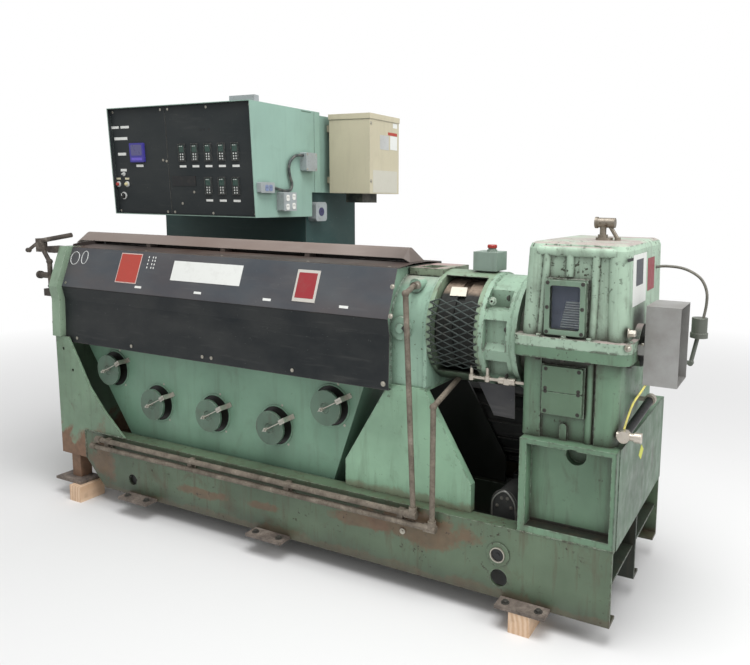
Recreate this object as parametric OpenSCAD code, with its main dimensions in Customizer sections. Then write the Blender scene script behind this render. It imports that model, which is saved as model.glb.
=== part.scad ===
// Plastic extruder: a single-screw extruder on its base, with the gearbox at the right,
// the covered barrel at the left and the operator console behind the barrel.
// X is 0 at the gearbox end of the base and falls towards the discharge end, Y is 0 at the
// operator front and grows to the back, and Z is 0 at the underside of the base rails.

/* [Base frame] */
// how far the base reaches past the cover at the discharge end
base_past = 56; // [50:1:90]
// depth of the base from the front plate to the back of the rear plate
base_depth = 898; // [860:1:940]
// height of the long rails
rail_height = 309; // [290:1:330]
// thickness of the rail plates
rail_sheet = 12; // [8:1:16]
// width of the lip folded along the top and bottom of each rail
rail_lip = 80; // [76:1:86]
// distance from the front face to the middle rail
middle_rail_y = 412; // [408:1:440]
// length of the slanted cut at the discharge end of each rail
rail_cut = 140; // [100:1:180]
// radius of the hand hole near the discharge end of the front rail
hand_hole_r = 30; // [20:1:38]
// radius of the drain hole near the gearbox end of the front rail
drain_hole_r = 37; // [25:1:45]
// height of the discharge end upright
upright_height = 825; // [800:1:850]
// width of the upright up to its weld with the rail
upright_width = 206; // [180:1:230]
// width of the top of the upright
upright_top = 104; // [90:1:130]
// height at which the foot of the upright is cut off
upright_foot = 148; // [130:1:170]
// height of the gusset between upright and rail
gusset_height = 246; // [200:1:290]
// length of the gusset along the rail
gusset_length = 257; // [200:1:300]
// height of the shelf between the rails
shelf_z = 145; // [130:1:160]
// thickness of the shelf
shelf_sheet = 8; // [5:1:12]
// distance from the discharge end to the shelf
shelf_stop = 531; // [500:1:540]

/* [Gearbox pedestal] */
// length of the block under the gearbox
pedestal_length = 384; // [375:1:392]
// height of the top of the block above the base underside
pedestal_height = 694; // [680:1:710]
// width of the raised border round the front panel
pedestal_border = 29; // [20:1:40]
// how far the front panel is set back
pedestal_recess = 60; // [40:1:80]
// radius of the hole in the front panel
pedestal_hole_r = 41; // [30:1:50]
// thickness of the end panel
end_panel_sheet = 3; // [2:1:6]

/* [Floor supports] */
// side of the square timber under the corners
timber = 89; // [80:1:100]
// length of a timber block
timber_length = 152; // [130:1:180]
// length of a levelling pad
pad_length = 210; // [180:1:230]
// how far a levelling pad stands out of the rail
pad_depth = 75; // [60:1:90]
// how far a rear pad stands out of the rail, where it makes room for the cabinet
rear_pad_depth = 44; // [36:1:48]
// thickness of a levelling pad
pad_thick = 14; // [10:1:20]

/* [Barrel line] */
// distance from the front face to the centre of the barrel
barrel_y = 300; // [292:1:304]
// height of the barrel centre above the base underside
barrel_z = 1062; // [1055:1:1070]
// outer radius of the barrel
barrel_r = 108; // [95:1:118]
// length of the barrel from the feed housing to the die face
barrel_length = 2210; // [2180:1:2260]
// outer radius of the die flange at the end of the barrel
flange_r = 165; // [155:1:180]
// thickness of the die flange
flange_thick = 52; // [40:1:56]
// diameter of the circle on which the die bolts lie
die_bolt_circle = 276; // [260:1:290]
// radius of a die bolt hole
die_bolt_r = 9.5; // [7:0.5:12]
// radius of the seat for the breaker plate
breaker_r = 58; // [45:1:70]
// depth of the seat for the breaker plate
breaker_depth = 16; // [8:1:24]

/* [Barrel cover] */
// distance from the gearbox end of the base to the cover
cover_gap = 1000; // [990:1:1015]
// how far the barrel reaches past the cover
die_reach = 125; // [118:1:140]
// sheet thickness of the cover
cover_sheet = 3; // [2:0.5:5]
// half width of the cover where the panels join
cover_joint_half = 285; // [278:1:292]
// how far the lower panels fold in under the joint
cover_tuck = 15; // [8:1:22]
// half width at the top of the leaning panels
cover_top_half = 205; // [190:1:220]
// height of the underside of the cover
cover_bottom_z = 793; // [780:1:806]
// height of the fold in the lower panels
cover_fold_z = 1030; // [1015:1:1045]
// height of the joint between lower and leaning panels
cover_joint_z = 1104; // [1090:1:1120]
// height of the top of the leaning panels
cover_top_z = 1316; // [1313:1:1325]
// width of the lip along the top of a leaning panel
cover_lip = 28; // [20:1:36]
// how far the roof rises towards its middle
roof_rise = 9; // [4:1:14]
// half width of the raised middle of the roof
roof_middle_half = 66; // [64:1:90]
// half width of the ridge cap
cap_half = 65; // [55:1:75]
// gap between the roof and the lower edge of the ridge cap
cap_gap = 18; // [10:1:26]
// height of the ridge cap
cap_height = 46; // [38:1:56]
// distance from the cover to the discharge end of the ridge cap
cap_overhang = 120; // [80:1:125]
// distance from the gearbox end of the cover to the ridge cap
cap_setback = 55; // [45:1:80]
// length over which each end of the cap slopes down
cap_slope = 36; // [24:1:44]
// depth of the frame at the discharge end of the cover
end_depth = 64; // [50:1:72]
// how far the end frame stands out past the cover
end_margin = 35; // [25:1:45]
// thickness of the web of the end frame
end_web = 10; // [6:1:14]

/* [Cooling box] */
// distance from the front face to the front of the cooling box
box_front_y = 100; // [96:1:115]
// height of the top of the cooling box
box_top_z = 787; // [778:1:788]
// distance from the gearbox end to the top corner of the cooling box
box_gap = 1171; // [1165:1:1200]
// distance from the discharge end of the base to the cooling box
box_end_gap = 128; // [118:1:150]
// how far the discharge end of the box slants in
box_left_taper = 428; // [380:1:460]
// how far the gearbox end of the box slants in
box_right_taper = 225; // [190:1:250]
// radius of the air ports
port_r = 95; // [85:1:105]
// depth of the air ports
port_depth = 60; // [40:1:80]
// distance from the end of the box to the middle of its outer port
port_inset = 206; // [200:1:220]
// how far the ports lie towards the gearbox from the middle of the box
port_shift = 22; // [0:1:30]
// height of the inner ports
port_z = 509; // [490:1:530]
// height of the outer ports
port_outer_z = 657; // [648:1:662]
// radius of a damper rod
rod_r = 5; // [4:0.5:7]
// distance from the front face to the end of a damper rod
rod_y_end = 6; // [0:1:14]
// gap between the cooling box and a damper disc
damper_gap = 45; // [36:1:52]

/* [Feed section] */
// length of the feed housing
feed_length = 192; // [186:1:200]
// distance from the cover to the hidden end of the feed housing
feed_lap = 30; // [20:1:40]
// half width of the feed housing
feed_half = 235; // [225:1:242]
// depth of the feed housing below the barrel centre
feed_bottom = 250; // [242:1:258]
// height of the flat top of the feed housing above the barrel centre
feed_top = 217; // [210:1:222]
// length of the feed throat along the barrel
throat_length = 94; // [80:1:104]
// width of the feed throat
throat_width = 130; // [110:1:138]
// depth of the throat plate on top of the feed housing
throat_plate_depth = 255; // [240:1:270]
// distance from the front face to the throat plate
throat_plate_y = 215; // [205:1:220]
// thickness of the throat plate
throat_plate_thick = 33; // [24:1:34]
// distance between the hopper bolts along the barrel
hopper_bolt_x = 140; // [130:1:144]
// distance between the hopper bolts across the barrel
hopper_bolt_y = 146; // [146:1:150]
// radius of a hopper bolt hole
hopper_bolt_r = 6; // [4:0.5:7]
// distance from the front face to the feed support
support_y = 60; // [56:1:64]
// plate thickness of the feed support
support_sheet = 12; // [8:1:14]
// how far each foot of the feed support spreads past its top
support_spread = 221; // [200:1:235]
// height at which the slanted sides of the feed support end
support_shoulder_z = 430; // [410:1:450]
// depth of the flanges folded back along the sides of the support
support_flange = 26; // [20:1:29]
// how far the rear plate of the support stands on the middle rail
support_back_step = 28; // [20:1:50]

/* [Drive line] */
// length of the shaft housing between feed housing and thrust housing
lantern_length = 240; // [234:1:246]
// outer radius of the shaft housing
lantern_r = 245; // [236:1:247]
// wall thickness of the shaft housing
lantern_wall = 18; // [12:1:22]
// length of the ring at each end of the shaft housing
lantern_ring = 20; // [14:1:28]
// height of the top edge of the window above the barrel centre
window_top = 226; // [215:1:230]
// height of the bottom edge of the window below the barrel centre
window_bottom = 176; // [160:1:190]
// radius of the drive shaft
shaft_r = 48; // [40:1:56]
// radius of the drive coupling
coupling_r = 205; // [190:1:212]
// length of the thrust housing
thrust_length = 164; // [150:1:168]
// thickness of the rim at each end of the thrust housing
thrust_rim = 20; // [16:1:26]
// radius of the waist of the thrust housing
thrust_waist_r = 236; // [228:1:238]
// depth of the pockets in the thrust housing
pocket_depth = 40; // [30:1:60]
// length of the strands of the mesh guard, from knot to knot
mesh_long = 75; // [60:1:90]
// height of the diamonds of the mesh guard
mesh_short = 32; // [28:1:40]
// width of a strand of the mesh guard
mesh_strand = 5; // [4:0.5:8]
// thickness of the mesh guard
mesh_thick = 4; // [3:0.5:6]

/* [Gearbox] */
// length of the gearbox castings
gear_length = 383; // [376:1:390]
// distance from the gearbox end of the base to the castings
gear_gap = 20; // [14:1:26]
// distance from the front face to the gearbox castings
gear_y = 45; // [38:1:52]
// depth of the gearbox castings
gear_depth = 645; // [620:1:670]
// height of the upper casting above the barrel centre
gear_upper = 397; // [385:1:405]
// thickness of the lower joint flange
lower_flange = 44; // [38:1:50]
// thickness of the upper joint flange
upper_flange = 36; // [30:1:44]
// how far the boss towards the barrel is smaller than the thrust housing
boss_step = 40; // [24:1:50]
// how far the joint flanges stand out
joint_lip = 31; // [29:1:33]
// how far the side towards the barrel leans in at the top
gear_lean = 20; // [10:1:28]
// radius of the corner columns of the castings
gear_corner = 42; // [36:1:50]
// bevel round the top of the upper casting
gear_bevel = 26; // [16:1:30]
// how far the panels between the ribs are set back
panel_depth = 14; // [8:1:20]
// width of a casting rib
rib_width = 34; // [28:1:40]
// height of the lower inspection cover
low_cover_height = 90; // [80:1:94]
// height of the upper inspection cover
high_cover_height = 100; // [90:1:104]
// length of the inspection covers
cover_plate_length = 160; // [150:1:164]
// thickness of the inspection covers
cover_plate_thick = 14; // [8:1:18]
// height of the sight window
sight_height = 208; // [190:1:220]
// length of the sight window
sight_length = 158; // [150:1:164]
// width of the frame round the sight window
sight_border = 20; // [16:1:26]
// radius of the boss round the input shaft
input_boss_r = 84; // [70:1:90]
// distance from the front face to the input shaft
input_y = 242; // [236:1:250]

/* [Shaft guard] */
// how far the guard reaches past the joint flanges
guard_length = 150; // [140:1:160]
// gap between the joint flanges and the back of the guard
guard_gap = 24; // [14:1:30]
// width of the guard
guard_width = 205; // [190:1:220]
// height of the guard
guard_height = 300; // [280:1:320]
// sheet thickness of the guard
guard_sheet = 3; // [2:0.5:5]
// radius of the speed sensor
sensor_r = 36; // [30:1:40]
// height of the speed sensor
sensor_height = 84; // [70:1:96]
// distance from the front face to the speed sensor
sensor_y = 560; // [540:1:580]

/* [Console] */
// length of the console
console_length = 1100; // [1080:1:1110]
// height of the console
console_height = 617; // [600:1:640]
// how far the top of the console hangs out past the cabinet
console_overhang = 523; // [510:1:535]
// how far the front of the console leans out at the top
console_lean = 31; // [20:1:40]
// depth of the console at its top
console_depth = 603; // [585:1:620]
// height of the underside of the console
console_z = 1497; // [1485:1:1510]
// distance from the gearbox end of the base to the console
console_gap = 2110; // [2095:1:2130]
// distance from the gearbox end of the base to the cabinet under the console
cabinet_gap = 2160; // [2150:1:2175]
// length of the cabinet
cabinet_length = 1177; // [1150:1:1184]
// distance from the back of the base to the cabinet
cabinet_behind = 57; // [50:1:70]
// depth of the cabinet
cabinet_depth = 523; // [505:1:540]
// height of the top of the cabinet above the base underside
cabinet_height = 1640; // [1630:1:1655]
// thickness of the panels on the console
panel_sheet = 4; // [2:0.5:6]
// how far the panels are set back in the front of the console
panel_recess = 25; // [15:1:32]
// length of the right-hand console panel
panel_length = 630; // [610:1:640]
// height of a temperature controller; its width is half of that
controller_side = 96; // [88:1:100]
// length of the starter box
starter_length = 292; // [275:1:310]
// depth of the starter box
starter_depth = 333; // [315:1:350]
// height of the starter box
starter_height = 470; // [450:1:490]
// gap between the starter box and its mounting panel
starter_gap = 47; // [40:1:55]
// thickness of the mounting panel behind the starter box
mounting_panel = 50; // [40:1:60]

/* [Hidden] */
$fn = 64;

// how far a cutting tool reaches past the face that it cuts
past = 1;
// the barrel sets the length of the cover, and the cover that of the base
cover_length = barrel_length + feed_lap - die_reach;
base_length = cover_gap + cover_length + base_past;
weld_x = -base_length + upright_width;
rear_y = base_depth - rail_sheet;
shelf_top = shelf_z + shelf_sheet;
shelf_length = base_length - shelf_stop;

// the barrel line, from the cover to the gearbox
cover_x = -cover_gap - cover_length;
feed_x = -cover_gap - feed_lap;
feed_end = feed_x + feed_length;
feed_middle = feed_x + feed_length / 2;
feed_front_y = barrel_y - feed_half;
feed_floor = barrel_z - feed_bottom;
throat_floor = barrel_z + feed_top;
throat_top = throat_floor + throat_plate_thick;
lantern_end = feed_end + lantern_length;
thrust_end = lantern_end + thrust_length;
roof_z = cover_top_z + roof_rise + cover_sheet;

// the gearbox castings
gear_end = -gear_gap;
gear_x = gear_end - gear_length;
gear_back = gear_y + gear_depth;
gear_top_z = barrel_z + gear_upper;
flange_end = gear_end + joint_lip + 14;
gear_middle = gear_x + gear_length / 2 - 20;
high_cover_z = barrel_z - 176;
sight_z = barrel_z + 47;

// the guard over the input shaft and the sensor behind it
guard_end = flange_end + guard_length;
guard_y = input_y - guard_width / 2;
guard_z = barrel_z - 132;
sensor_x = guard_end + 11;
sensor_z = guard_z + 125;

// the console line
cabinet_y = base_depth + cabinet_behind;
console_y = cabinet_y - console_overhang;
console_x = -console_gap - console_length;
console_top_z = console_z + console_height;
console_back = console_y + console_depth;
panel_split = -console_gap - panel_length - 17;
starter_x = -cabinet_gap + mounting_panel / 2 + starter_gap;
starter_y = cabinet_y + 146;

// frame of the whole part: origin under the middle of everything
clamp_reach = 235;
frame_left = cover_x - clamp_reach;
frame_right = sensor_x + sensor_r;
middle_x = (frame_left + frame_right) / 2;
middle_y = (cabinet_y + cabinet_depth - pad_depth) / 2;

green = [0.64, 0.76, 0.66];
base_green = [0.40, 0.49, 0.41];
dark = [0.19, 0.20, 0.21];
grey = [0.35, 0.36, 0.37];
steel = [0.62, 0.62, 0.60];
rust = [0.47, 0.35, 0.3];

module block(x0, x1, y0, y1, z0, z1) {
    translate([x0, y0, z0]) cube([x1 - x0, y1 - y0, z1 - z0]);
}

// a plate in the XZ plane: its outline is given as [x, z], its front face is at y
module upright_plate(y, thick) {
    translate([0, y + thick, 0]) rotate([90, 0, 0]) linear_extrude(thick) children();
}

// a section in the YZ plane, drawn out along X from x
module along_x(x, length) {
    translate([x, 0, 0]) rotate([90, 0, 90]) linear_extrude(length) children();
}

module rod_x(x, length, r, y, z) {
    translate([x, y, z]) rotate([0, 90, 0]) cylinder(r = r, h = length);
}

module rod_y(y, length, r, x, z) {
    translate([x, y + length, z]) rotate([90, 0, 0]) cylinder(r = r, h = length);
}

module rod_z(z, length, r, x, y) {
    translate([x, y, z]) cylinder(r = r, h = length);
}

// a straight round bar from one point to another
module bar(from, to, r) {
    run = to - from;
    length = norm(run);
    translate(from) rotate([0, acos(run[2] / length), atan2(run[1], run[0])]) cylinder(r = r, h = length);
}

// a rectangle with round corners, as a flat shape
module round_rectangle(x0, x1, y0, y1, r) {
    translate([x0 + r, y0]) square([x1 - x0 - 2 * r, y1 - y0]);
    translate([x0, y0 + r]) square([x1 - x0, y1 - y0 - 2 * r]);
    for (x = [x0 + r, x1 - r], y = [y0 + r, y1 - r]) translate([x, y]) circle(r);
}

// children, and the same once more on the other side of the barrel
module both_sides() {
    children();
    translate([0, 2 * barrel_y, 0]) mirror([0, 1, 0]) children();
}

// a channel rail: its web at y, with lips at the top and bottom that point to the side given
module rail(y, side) {
    lip_y = side > 0 ? y : y + rail_sheet - rail_lip;
    upright_plate(y, rail_sheet) polygon([[weld_x, upright_foot], [weld_x + rail_cut, 0], [0, 0],
        [0, rail_height], [weld_x, rail_height]]);
    block(weld_x, 0, lip_y, lip_y + rail_lip, rail_height - rail_sheet, rail_height);
    block(weld_x + rail_cut, 0, lip_y, lip_y + rail_lip, 0, rail_sheet);
}

module front_rail() {
    hole_z = rail_height * 0.28;
    color(base_green) difference() {
        rail(0, 1);
        rod_y(-past, rail_sheet + 2 * past, hand_hole_r, weld_x + 366, hole_z);
        rod_y(-past, rail_sheet + 2 * past, drain_hole_r, -459, hole_z);
    }
}

module middle_rail() {
    color(base_green) rail(middle_rail_y, 1);
}

module rear_rail() {
    color(base_green) rail(rear_y, -1);
}

// side of the discharge end, with the gusset that runs down onto the rail
module upright_outline() {
    left = -base_length;
    polygon([[left, upright_foot], [weld_x, upright_foot], [weld_x, rail_height],
        [weld_x + gusset_length + 58, rail_height], [weld_x + gusset_length * 2 / 3, rail_height + gusset_height / 2],
        [weld_x + 58, rail_height + gusset_height], [left + upright_top, upright_height], [left, upright_height]]);
}

module end_frame() {
    leg_x = -base_length + 61;
    leg_width = 70;
    color(base_green) {
        for (y = [0, rear_y]) upright_plate(y, rail_sheet) difference() {
            upright_outline();
            translate([-base_length + 59, upright_height - 70]) circle(9);
            translate([weld_x - 77, upright_height - 185]) circle(9);
        }
        block(-base_length, -base_length + rail_sheet, 0, base_depth, upright_foot, upright_height);
        block(-base_length, weld_x, 0, base_depth, upright_foot, upright_foot + rail_sheet);
        // the legs that carry this end down to the pads
        for (y = [rail_sheet, rear_y - leg_width]) {
            block(leg_x, leg_x + leg_width, y, y + leg_width, pad_thick, upright_foot + past);
        }
    }
}

module base_shelf() {
    color(base_green) {
        block(-shelf_length, -rail_sheet, rail_sheet, middle_rail_y, shelf_z, shelf_top);
        block(-shelf_length, -rail_sheet, middle_rail_y + rail_sheet, rear_y, shelf_z, shelf_top);
    }
}

module gearbox_pedestal() {
    panel = pedestal_border;
    middle = -pedestal_length / 2;
    color(base_green) {
        difference() {
            block(-pedestal_length, 0, 0, base_depth, rail_height, pedestal_height);
            for (y = [-past, base_depth - pedestal_recess]) {
                block(-pedestal_length + panel, -panel * 2 / 3, y, y + pedestal_recess + past,
                    rail_height + panel, pedestal_height - panel * 2 / 3);
            }
            rod_y(-past, pedestal_recess + 40, pedestal_hole_r, middle + 20, pedestal_height - 54);
        }
        block(0, end_panel_sheet, 40, base_depth, rail_height - 13, pedestal_height);
    }
}

pad_places = [-base_length + 646, -base_length / 2 - 50, -340];
end_pad_x = -base_length + 96;

module levelling_pads() {
    color(rust) {
        for (x = pad_places, side = [[-pad_depth, 0], [base_depth, base_depth + rear_pad_depth]]) {
            block(x - pad_length / 2, x + pad_length / 2, side[0], side[1], 0, pad_thick);
        }
        for (side = [[-rear_pad_depth, rail_sheet + pad_depth], [rear_y - pad_depth, base_depth + rear_pad_depth]]) {
            block(end_pad_x - pad_length / 2, end_pad_x + pad_length / 2, side[0], side[1], 0, pad_thick);
        }
    }
}

module timber_blocks() {
    color([0.86, 0.72, 0.56]) for (x = [end_pad_x + 90, pad_places[2]]) {
        for (y = [-pad_depth + 4, base_depth + rear_pad_depth - timber_length]) {
            block(x - timber / 2, x + timber / 2, y, y + timber_length, -timber, 0);
        }
    }
}

// front of the feed support, drawn in by a margin
module support_outline(margin = 0) {
    half = feed_length / 2 - margin;
    foot = feed_length / 2 + support_spread - margin;
    translate([feed_middle, 0]) polygon([[-foot, rail_height], [foot, rail_height], [foot, support_shoulder_z],
        [half, feed_floor - support_sheet], [-half, feed_floor - support_sheet], [-foot, support_shoulder_z]]);
}

module feed_support() {
    back_y = middle_rail_y + support_back_step;
    color(green) {
        for (y = [support_y, back_y]) upright_plate(y, support_sheet) support_outline();
        // flanges folded back from the front plate
        upright_plate(support_y, support_sheet + support_flange) difference() {
            support_outline();
            support_outline(support_sheet);
            translate([feed_x, rail_height - past]) square([feed_length, support_sheet]);
        }
        block(feed_x, feed_end, support_y, back_y + support_sheet, feed_floor - support_sheet, feed_floor);
    }
}

box_right = -box_gap;
box_left = -base_length + box_end_gap;
port_middle = (box_left + box_right) / 2 + port_shift;
port_outer = (box_right - box_left) / 2 - port_inset;
port_pitch = port_outer * 0.547;

// where a port is, from the first at the discharge end to the fifth, as [x, z]
function port_place(i) = abs(i) == 2
    ? [port_middle + sign(i) * port_outer, port_outer_z]
    : [port_middle + i * port_pitch, port_z];

// children at every port, in front of the face of the cooling box
module at_ports() {
    for (i = [-2:2]) translate([port_place(i)[0], box_front_y, port_place(i)[1]]) children();
}

module cooling_box() {
    rim = 8;
    color(green) difference() {
        union() {
            upright_plate(box_front_y, middle_rail_y - rail_sheet - box_front_y) polygon([
                [box_left + box_left_taper, shelf_top], [box_right - box_right_taper, shelf_top],
                [box_right, box_top_z], [box_left, box_top_z]]);
            // a folded rim round the top and the five ports
            block(box_left - rim, box_right + rim, box_front_y, box_front_y + 2 * rim, box_top_z, box_top_z + 4);
            at_ports() rod_y(-rim / 2, rim, port_r + rim, 0, 0);
        }
        at_ports() rod_y(-rim / 2 - past, port_depth + rim / 2 + past, port_r, 0, 0);
    }
}

// a dished disc on each port, with its rim turned towards the box
module damper_discs() {
    disc_r = port_r - 12;
    dish = 14;
    color(steel) at_ports() translate([0, -damper_gap, 0]) rotate([90, 0, 0]) rotate_extrude() polygon([
        [rod_r, 0], [disc_r * 0.3, 0], [disc_r * 0.36, 5], [disc_r - 4, 5], [disc_r - 4, -dish + 8],
        [disc_r, -dish + 8], [disc_r, 8], [disc_r * 0.33, 8], [disc_r * 0.27, 3], [rod_r, 3]]);
}

// the rod through each disc with its collar and wing nut, and the clip that holds the disc
module damper_rods() {
    clip_turn = -30;
    collar_r = 14;
    wing = 22;
    strap = 3;
    hold = 12;
    color(steel) at_ports() {
        rod_y(rod_y_end - box_front_y, port_depth + box_front_y - rod_y_end, rod_r, 0, 0);
        rod_y(-damper_gap, damper_gap, collar_r, 0, 0);
        rod_y(rod_y_end + 10 - box_front_y, 14, collar_r * 0.7, 0, 0);
        rotate([0, clip_turn, 0]) translate([-wing, rod_y_end + 12 - box_front_y, -2]) cube([2 * wing, 9, 4]);
    }
    color(steel) at_ports() rotate([0, clip_turn, 0]) {
        far = port_r + hold;
        translate([port_r - 2 * hold, -damper_gap - 8 - strap, -hold]) cube([3 * hold, strap, 2 * hold]);
        translate([far - strap, -damper_gap - 8 - strap, -hold]) cube([strap, damper_gap + 8 + strap, 2 * hold]);
        translate([far - strap, -strap, -hold]) cube([2 * hold, strap, 2 * hold]);
    }
}

// one half of the cover, as an outline that is moved in to give the sheet its thickness
module half_sheet(outer) {
    t = cover_sheet;
    inner = [for (i = [len(outer) - 1:-1:0]) outer[i] + [t, 0]];
    both_sides() along_x(cover_x, cover_length) translate([barrel_y, 0]) polygon(concat(outer, inner));
}

// the flat lip on the edge of a panel, from its outer edge inwards
module panel_lip(half, z, width) {
    both_sides() block(cover_x, cover_x + cover_length, barrel_y - half, barrel_y - half + width, z, z + cover_sheet);
}

module lower_panels() {
    bottom_half = cover_joint_half - cover_tuck / 2;
    color(dark) {
        half_sheet([[-bottom_half, cover_bottom_z], [-cover_joint_half + cover_tuck, cover_fold_z],
            [-cover_joint_half, cover_joint_z]]);
        panel_lip(bottom_half, cover_bottom_z, cover_lip);
    }
}

module upper_panels() {
    color(grey) {
        half_sheet([[-cover_joint_half, cover_joint_z], [-cover_top_half, cover_top_z]]);
        panel_lip(cover_top_half, cover_top_z - cover_sheet, cover_lip);
    }
}

module cover_roof() {
    half = cover_top_half;
    flat = half - cover_lip;
    lower = [[-half, 0], [-flat, 0], [-roof_middle_half, roof_rise], [roof_middle_half, roof_rise], [flat, 0], [half, 0]];
    upper = [for (i = [len(lower) - 1:-1:0]) lower[i] + [0, cover_sheet]];
    color(grey) along_x(cover_x, cover_length) translate([barrel_y, cover_top_z]) polygon(concat(lower, upper));
}

// section of the ridge cap: straight sides that run into a round top
module cap_section() {
    top_r = cap_half * 0.55;
    steps = 12;
    crown = [for (i = [0:steps]) let (a = 130 - i * 80 / steps)
        [top_r * cos(a), cap_height - top_r + top_r * sin(a)]];
    polygon(concat([[-cap_half, 0]], crown, [[cap_half, 0]]));
}

module ridge_cap() {
    edge_z = roof_z + cap_gap;
    x0 = cover_x - cap_overhang;
    x1 = -cover_gap - cap_setback;
    color([0.58, 0.54, 0.52]) {
        difference() {
            along_x(x0, x1 - x0) translate([barrel_y, edge_z]) cap_section();
            along_x(x0 - past, x1 - x0 + 2 * past) translate([barrel_y, edge_z - cover_sheet]) cap_section();
        }
        // each end is closed by a cheek that slopes down to the roof
        for (x = [x0, x1]) hull() {
            along_x(x - cover_sheet / 2, cover_sheet) translate([barrel_y, edge_z]) cap_section();
            slope = x == x0 ? -cap_slope : cap_slope;
            block(x + slope - 1, x + slope + 1, barrel_y - cap_half, barrel_y + cap_half, roof_z, roof_z + 2);
        }
        // feet that carry the cap on the roof
        for (i = [1:3]) intersection() {
            translate([x0 + i * (x1 - x0) / 4, 0, 0]) block(-15, 15, barrel_y - cap_half, barrel_y + cap_half,
                roof_z, edge_z + 12);
            union() {
                block(x0, x1, barrel_y - cap_half + 12, barrel_y + cap_half - 12, roof_z, edge_z);
                along_x(x0, x1 - x0) translate([barrel_y, edge_z]) cap_section();
            }
        }
    }
}

// profile of the discharge end, past the cover by a margin
module end_outline(margin) {
    m = margin;
    side = [[cover_joint_half - cover_tuck / 2 + m, upright_height],
        [cover_joint_half - cover_tuck + m, cover_fold_z], [cover_joint_half + m, cover_joint_z],
        [cover_top_half + m, cover_top_z + 5]];
    polygon(concat(side, [for (i = [3:-1:0]) [-side[i][0], side[i][1]]]));
}

module discharge_end_plate() {
    x = cover_x - end_depth;
    wall = 6;
    hole_fit = 6;
    color(green) difference() {
        along_x(x, end_depth) translate([barrel_y, 0]) end_outline(end_margin);
        along_x(x - past, end_depth - end_web + past) translate([barrel_y, 0]) intersection() {
            end_outline(end_margin - wall);
            translate([-cover_joint_half * 2, upright_height + wall])
                square([cover_joint_half * 4, cover_top_z - upright_height - 2 * wall]);
        }
        rod_x(x - past, end_depth + 2 * past, barrel_r + hole_fit, barrel_y, barrel_z);
    }
}

module barrel() {
    end_x = feed_x - barrel_length;
    color(steel) difference() {
        union() {
            rod_x(end_x, barrel_length, barrel_r, barrel_y, barrel_z);
            rod_x(end_x, flange_thick, flange_r, barrel_y, barrel_z);
        }
        rod_x(end_x - past, breaker_depth + past, breaker_r, barrel_y, barrel_z);
        for (i = [0:7]) translate([0, barrel_y, barrel_z]) rotate([i * 45 + 22.5, 0, 0])
            rod_x(end_x - past, flange_thick + 2 * past, die_bolt_r, die_bolt_circle / 2, 0);
    }
}

// swing bolt that closes the die: lug, bent link, knob, arm and handle on the outside of the end frame
module swing_clamp() {
    seat = cover_x - end_depth;
    link_x = seat - 55;
    y = barrel_y - cover_joint_half + 18;
    lug_z = barrel_z - 20;
    yoke_z = cover_top_z - 18;
    link_r = 13;
    elbow = [link_x, y, yoke_z - 64];
    yoke = [link_x - 52, y, yoke_z + 4];
    knuckle = [link_x - 52, y - 14, yoke_z + 50];
    color(rust) {
        block(seat - 82, cover_x - end_web, y - 26, y + 44, lug_z, lug_z + 40);
        block(seat - 66, seat, y - 2, y + 70, yoke_z - 14, yoke_z + 22);
        rod_z(lug_z + 20, elbow[2] - lug_z - 20, link_r, link_x, y);
        bar(elbow, yoke, link_r - 1);
        translate(elbow) sphere(r = link_r + 4);
        rod_x(link_x - 95, 100, 17, y, lug_z + 113);
        rod_x(link_x - 95, 16, 22, y, lug_z + 113);
        block(yoke[0] - 16, yoke[0] + 20, y - 30, y + 16, yoke[2] - 14, knuckle[2] + 14);
        block(yoke[0], seat - 40, y, y + 18, yoke_z - 8, yoke_z + 14);
        bar(knuckle, [seat + 60, y + 62, yoke_z + 86], link_r);
        bar([frame_left + 9, y - 47, yoke_z - 2], knuckle, 9);
        rod_x(frame_left, 18, 13, y - 47, yoke_z - 2);
    }
}

// inside of the cover: the plate at the feed end that its panels are screwed to
module closure_outline() {
    t = cover_sheet;
    side = [[cover_joint_half - cover_tuck / 2 - t, cover_bottom_z + t], [cover_joint_half - cover_tuck - t, cover_fold_z],
        [cover_joint_half - t, cover_joint_z], [cover_top_half - t, cover_top_z - t]];
    translate([barrel_y, 0]) polygon(concat(side, [for (i = [3:-1:0]) [-side[i][0], side[i][1]]]));
}

// casting with flat sides, a round top that is cut flat, and bosses for the plugs on its front
module feed_housing() {
    rim = 16;
    rim_step = 6;
    throat_x = feed_middle - throat_length / 2;
    color(green) difference() {
        union() {
            for (part = [[feed_x, feed_length, rim_step], [feed_x, rim, 0], [feed_end - rim, rim, 0]]) {
                along_x(part[0], part[1]) translate([barrel_y, barrel_z]) {
                    circle(feed_half - part[2]);
                    translate([-feed_half + part[2], -feed_bottom]) square([2 * (feed_half - part[2]), feed_bottom]);
                }
            }
            along_x(feed_x, rim - 4) intersection() {
                closure_outline();
                translate([0, cover_bottom_z]) square([2 * barrel_y, cover_top_z - cover_bottom_z]);
            }
            rod_y(feed_front_y - 4, 40, 50, feed_middle - 30, barrel_z);
            rod_y(feed_front_y - 12, 40, 20, feed_middle - 30, barrel_z);
            rod_y(barrel_y - 180, 60, 30, feed_middle + 9, barrel_z + 182);
        }
        block(feed_x + rim - 4, feed_end + past, 0, 2 * barrel_y, throat_floor, throat_floor + feed_half);
        block(throat_x, throat_x + throat_length, barrel_y - throat_width / 2, barrel_y + throat_width / 2,
            barrel_z + 30, throat_floor + past);
    }
}

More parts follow.
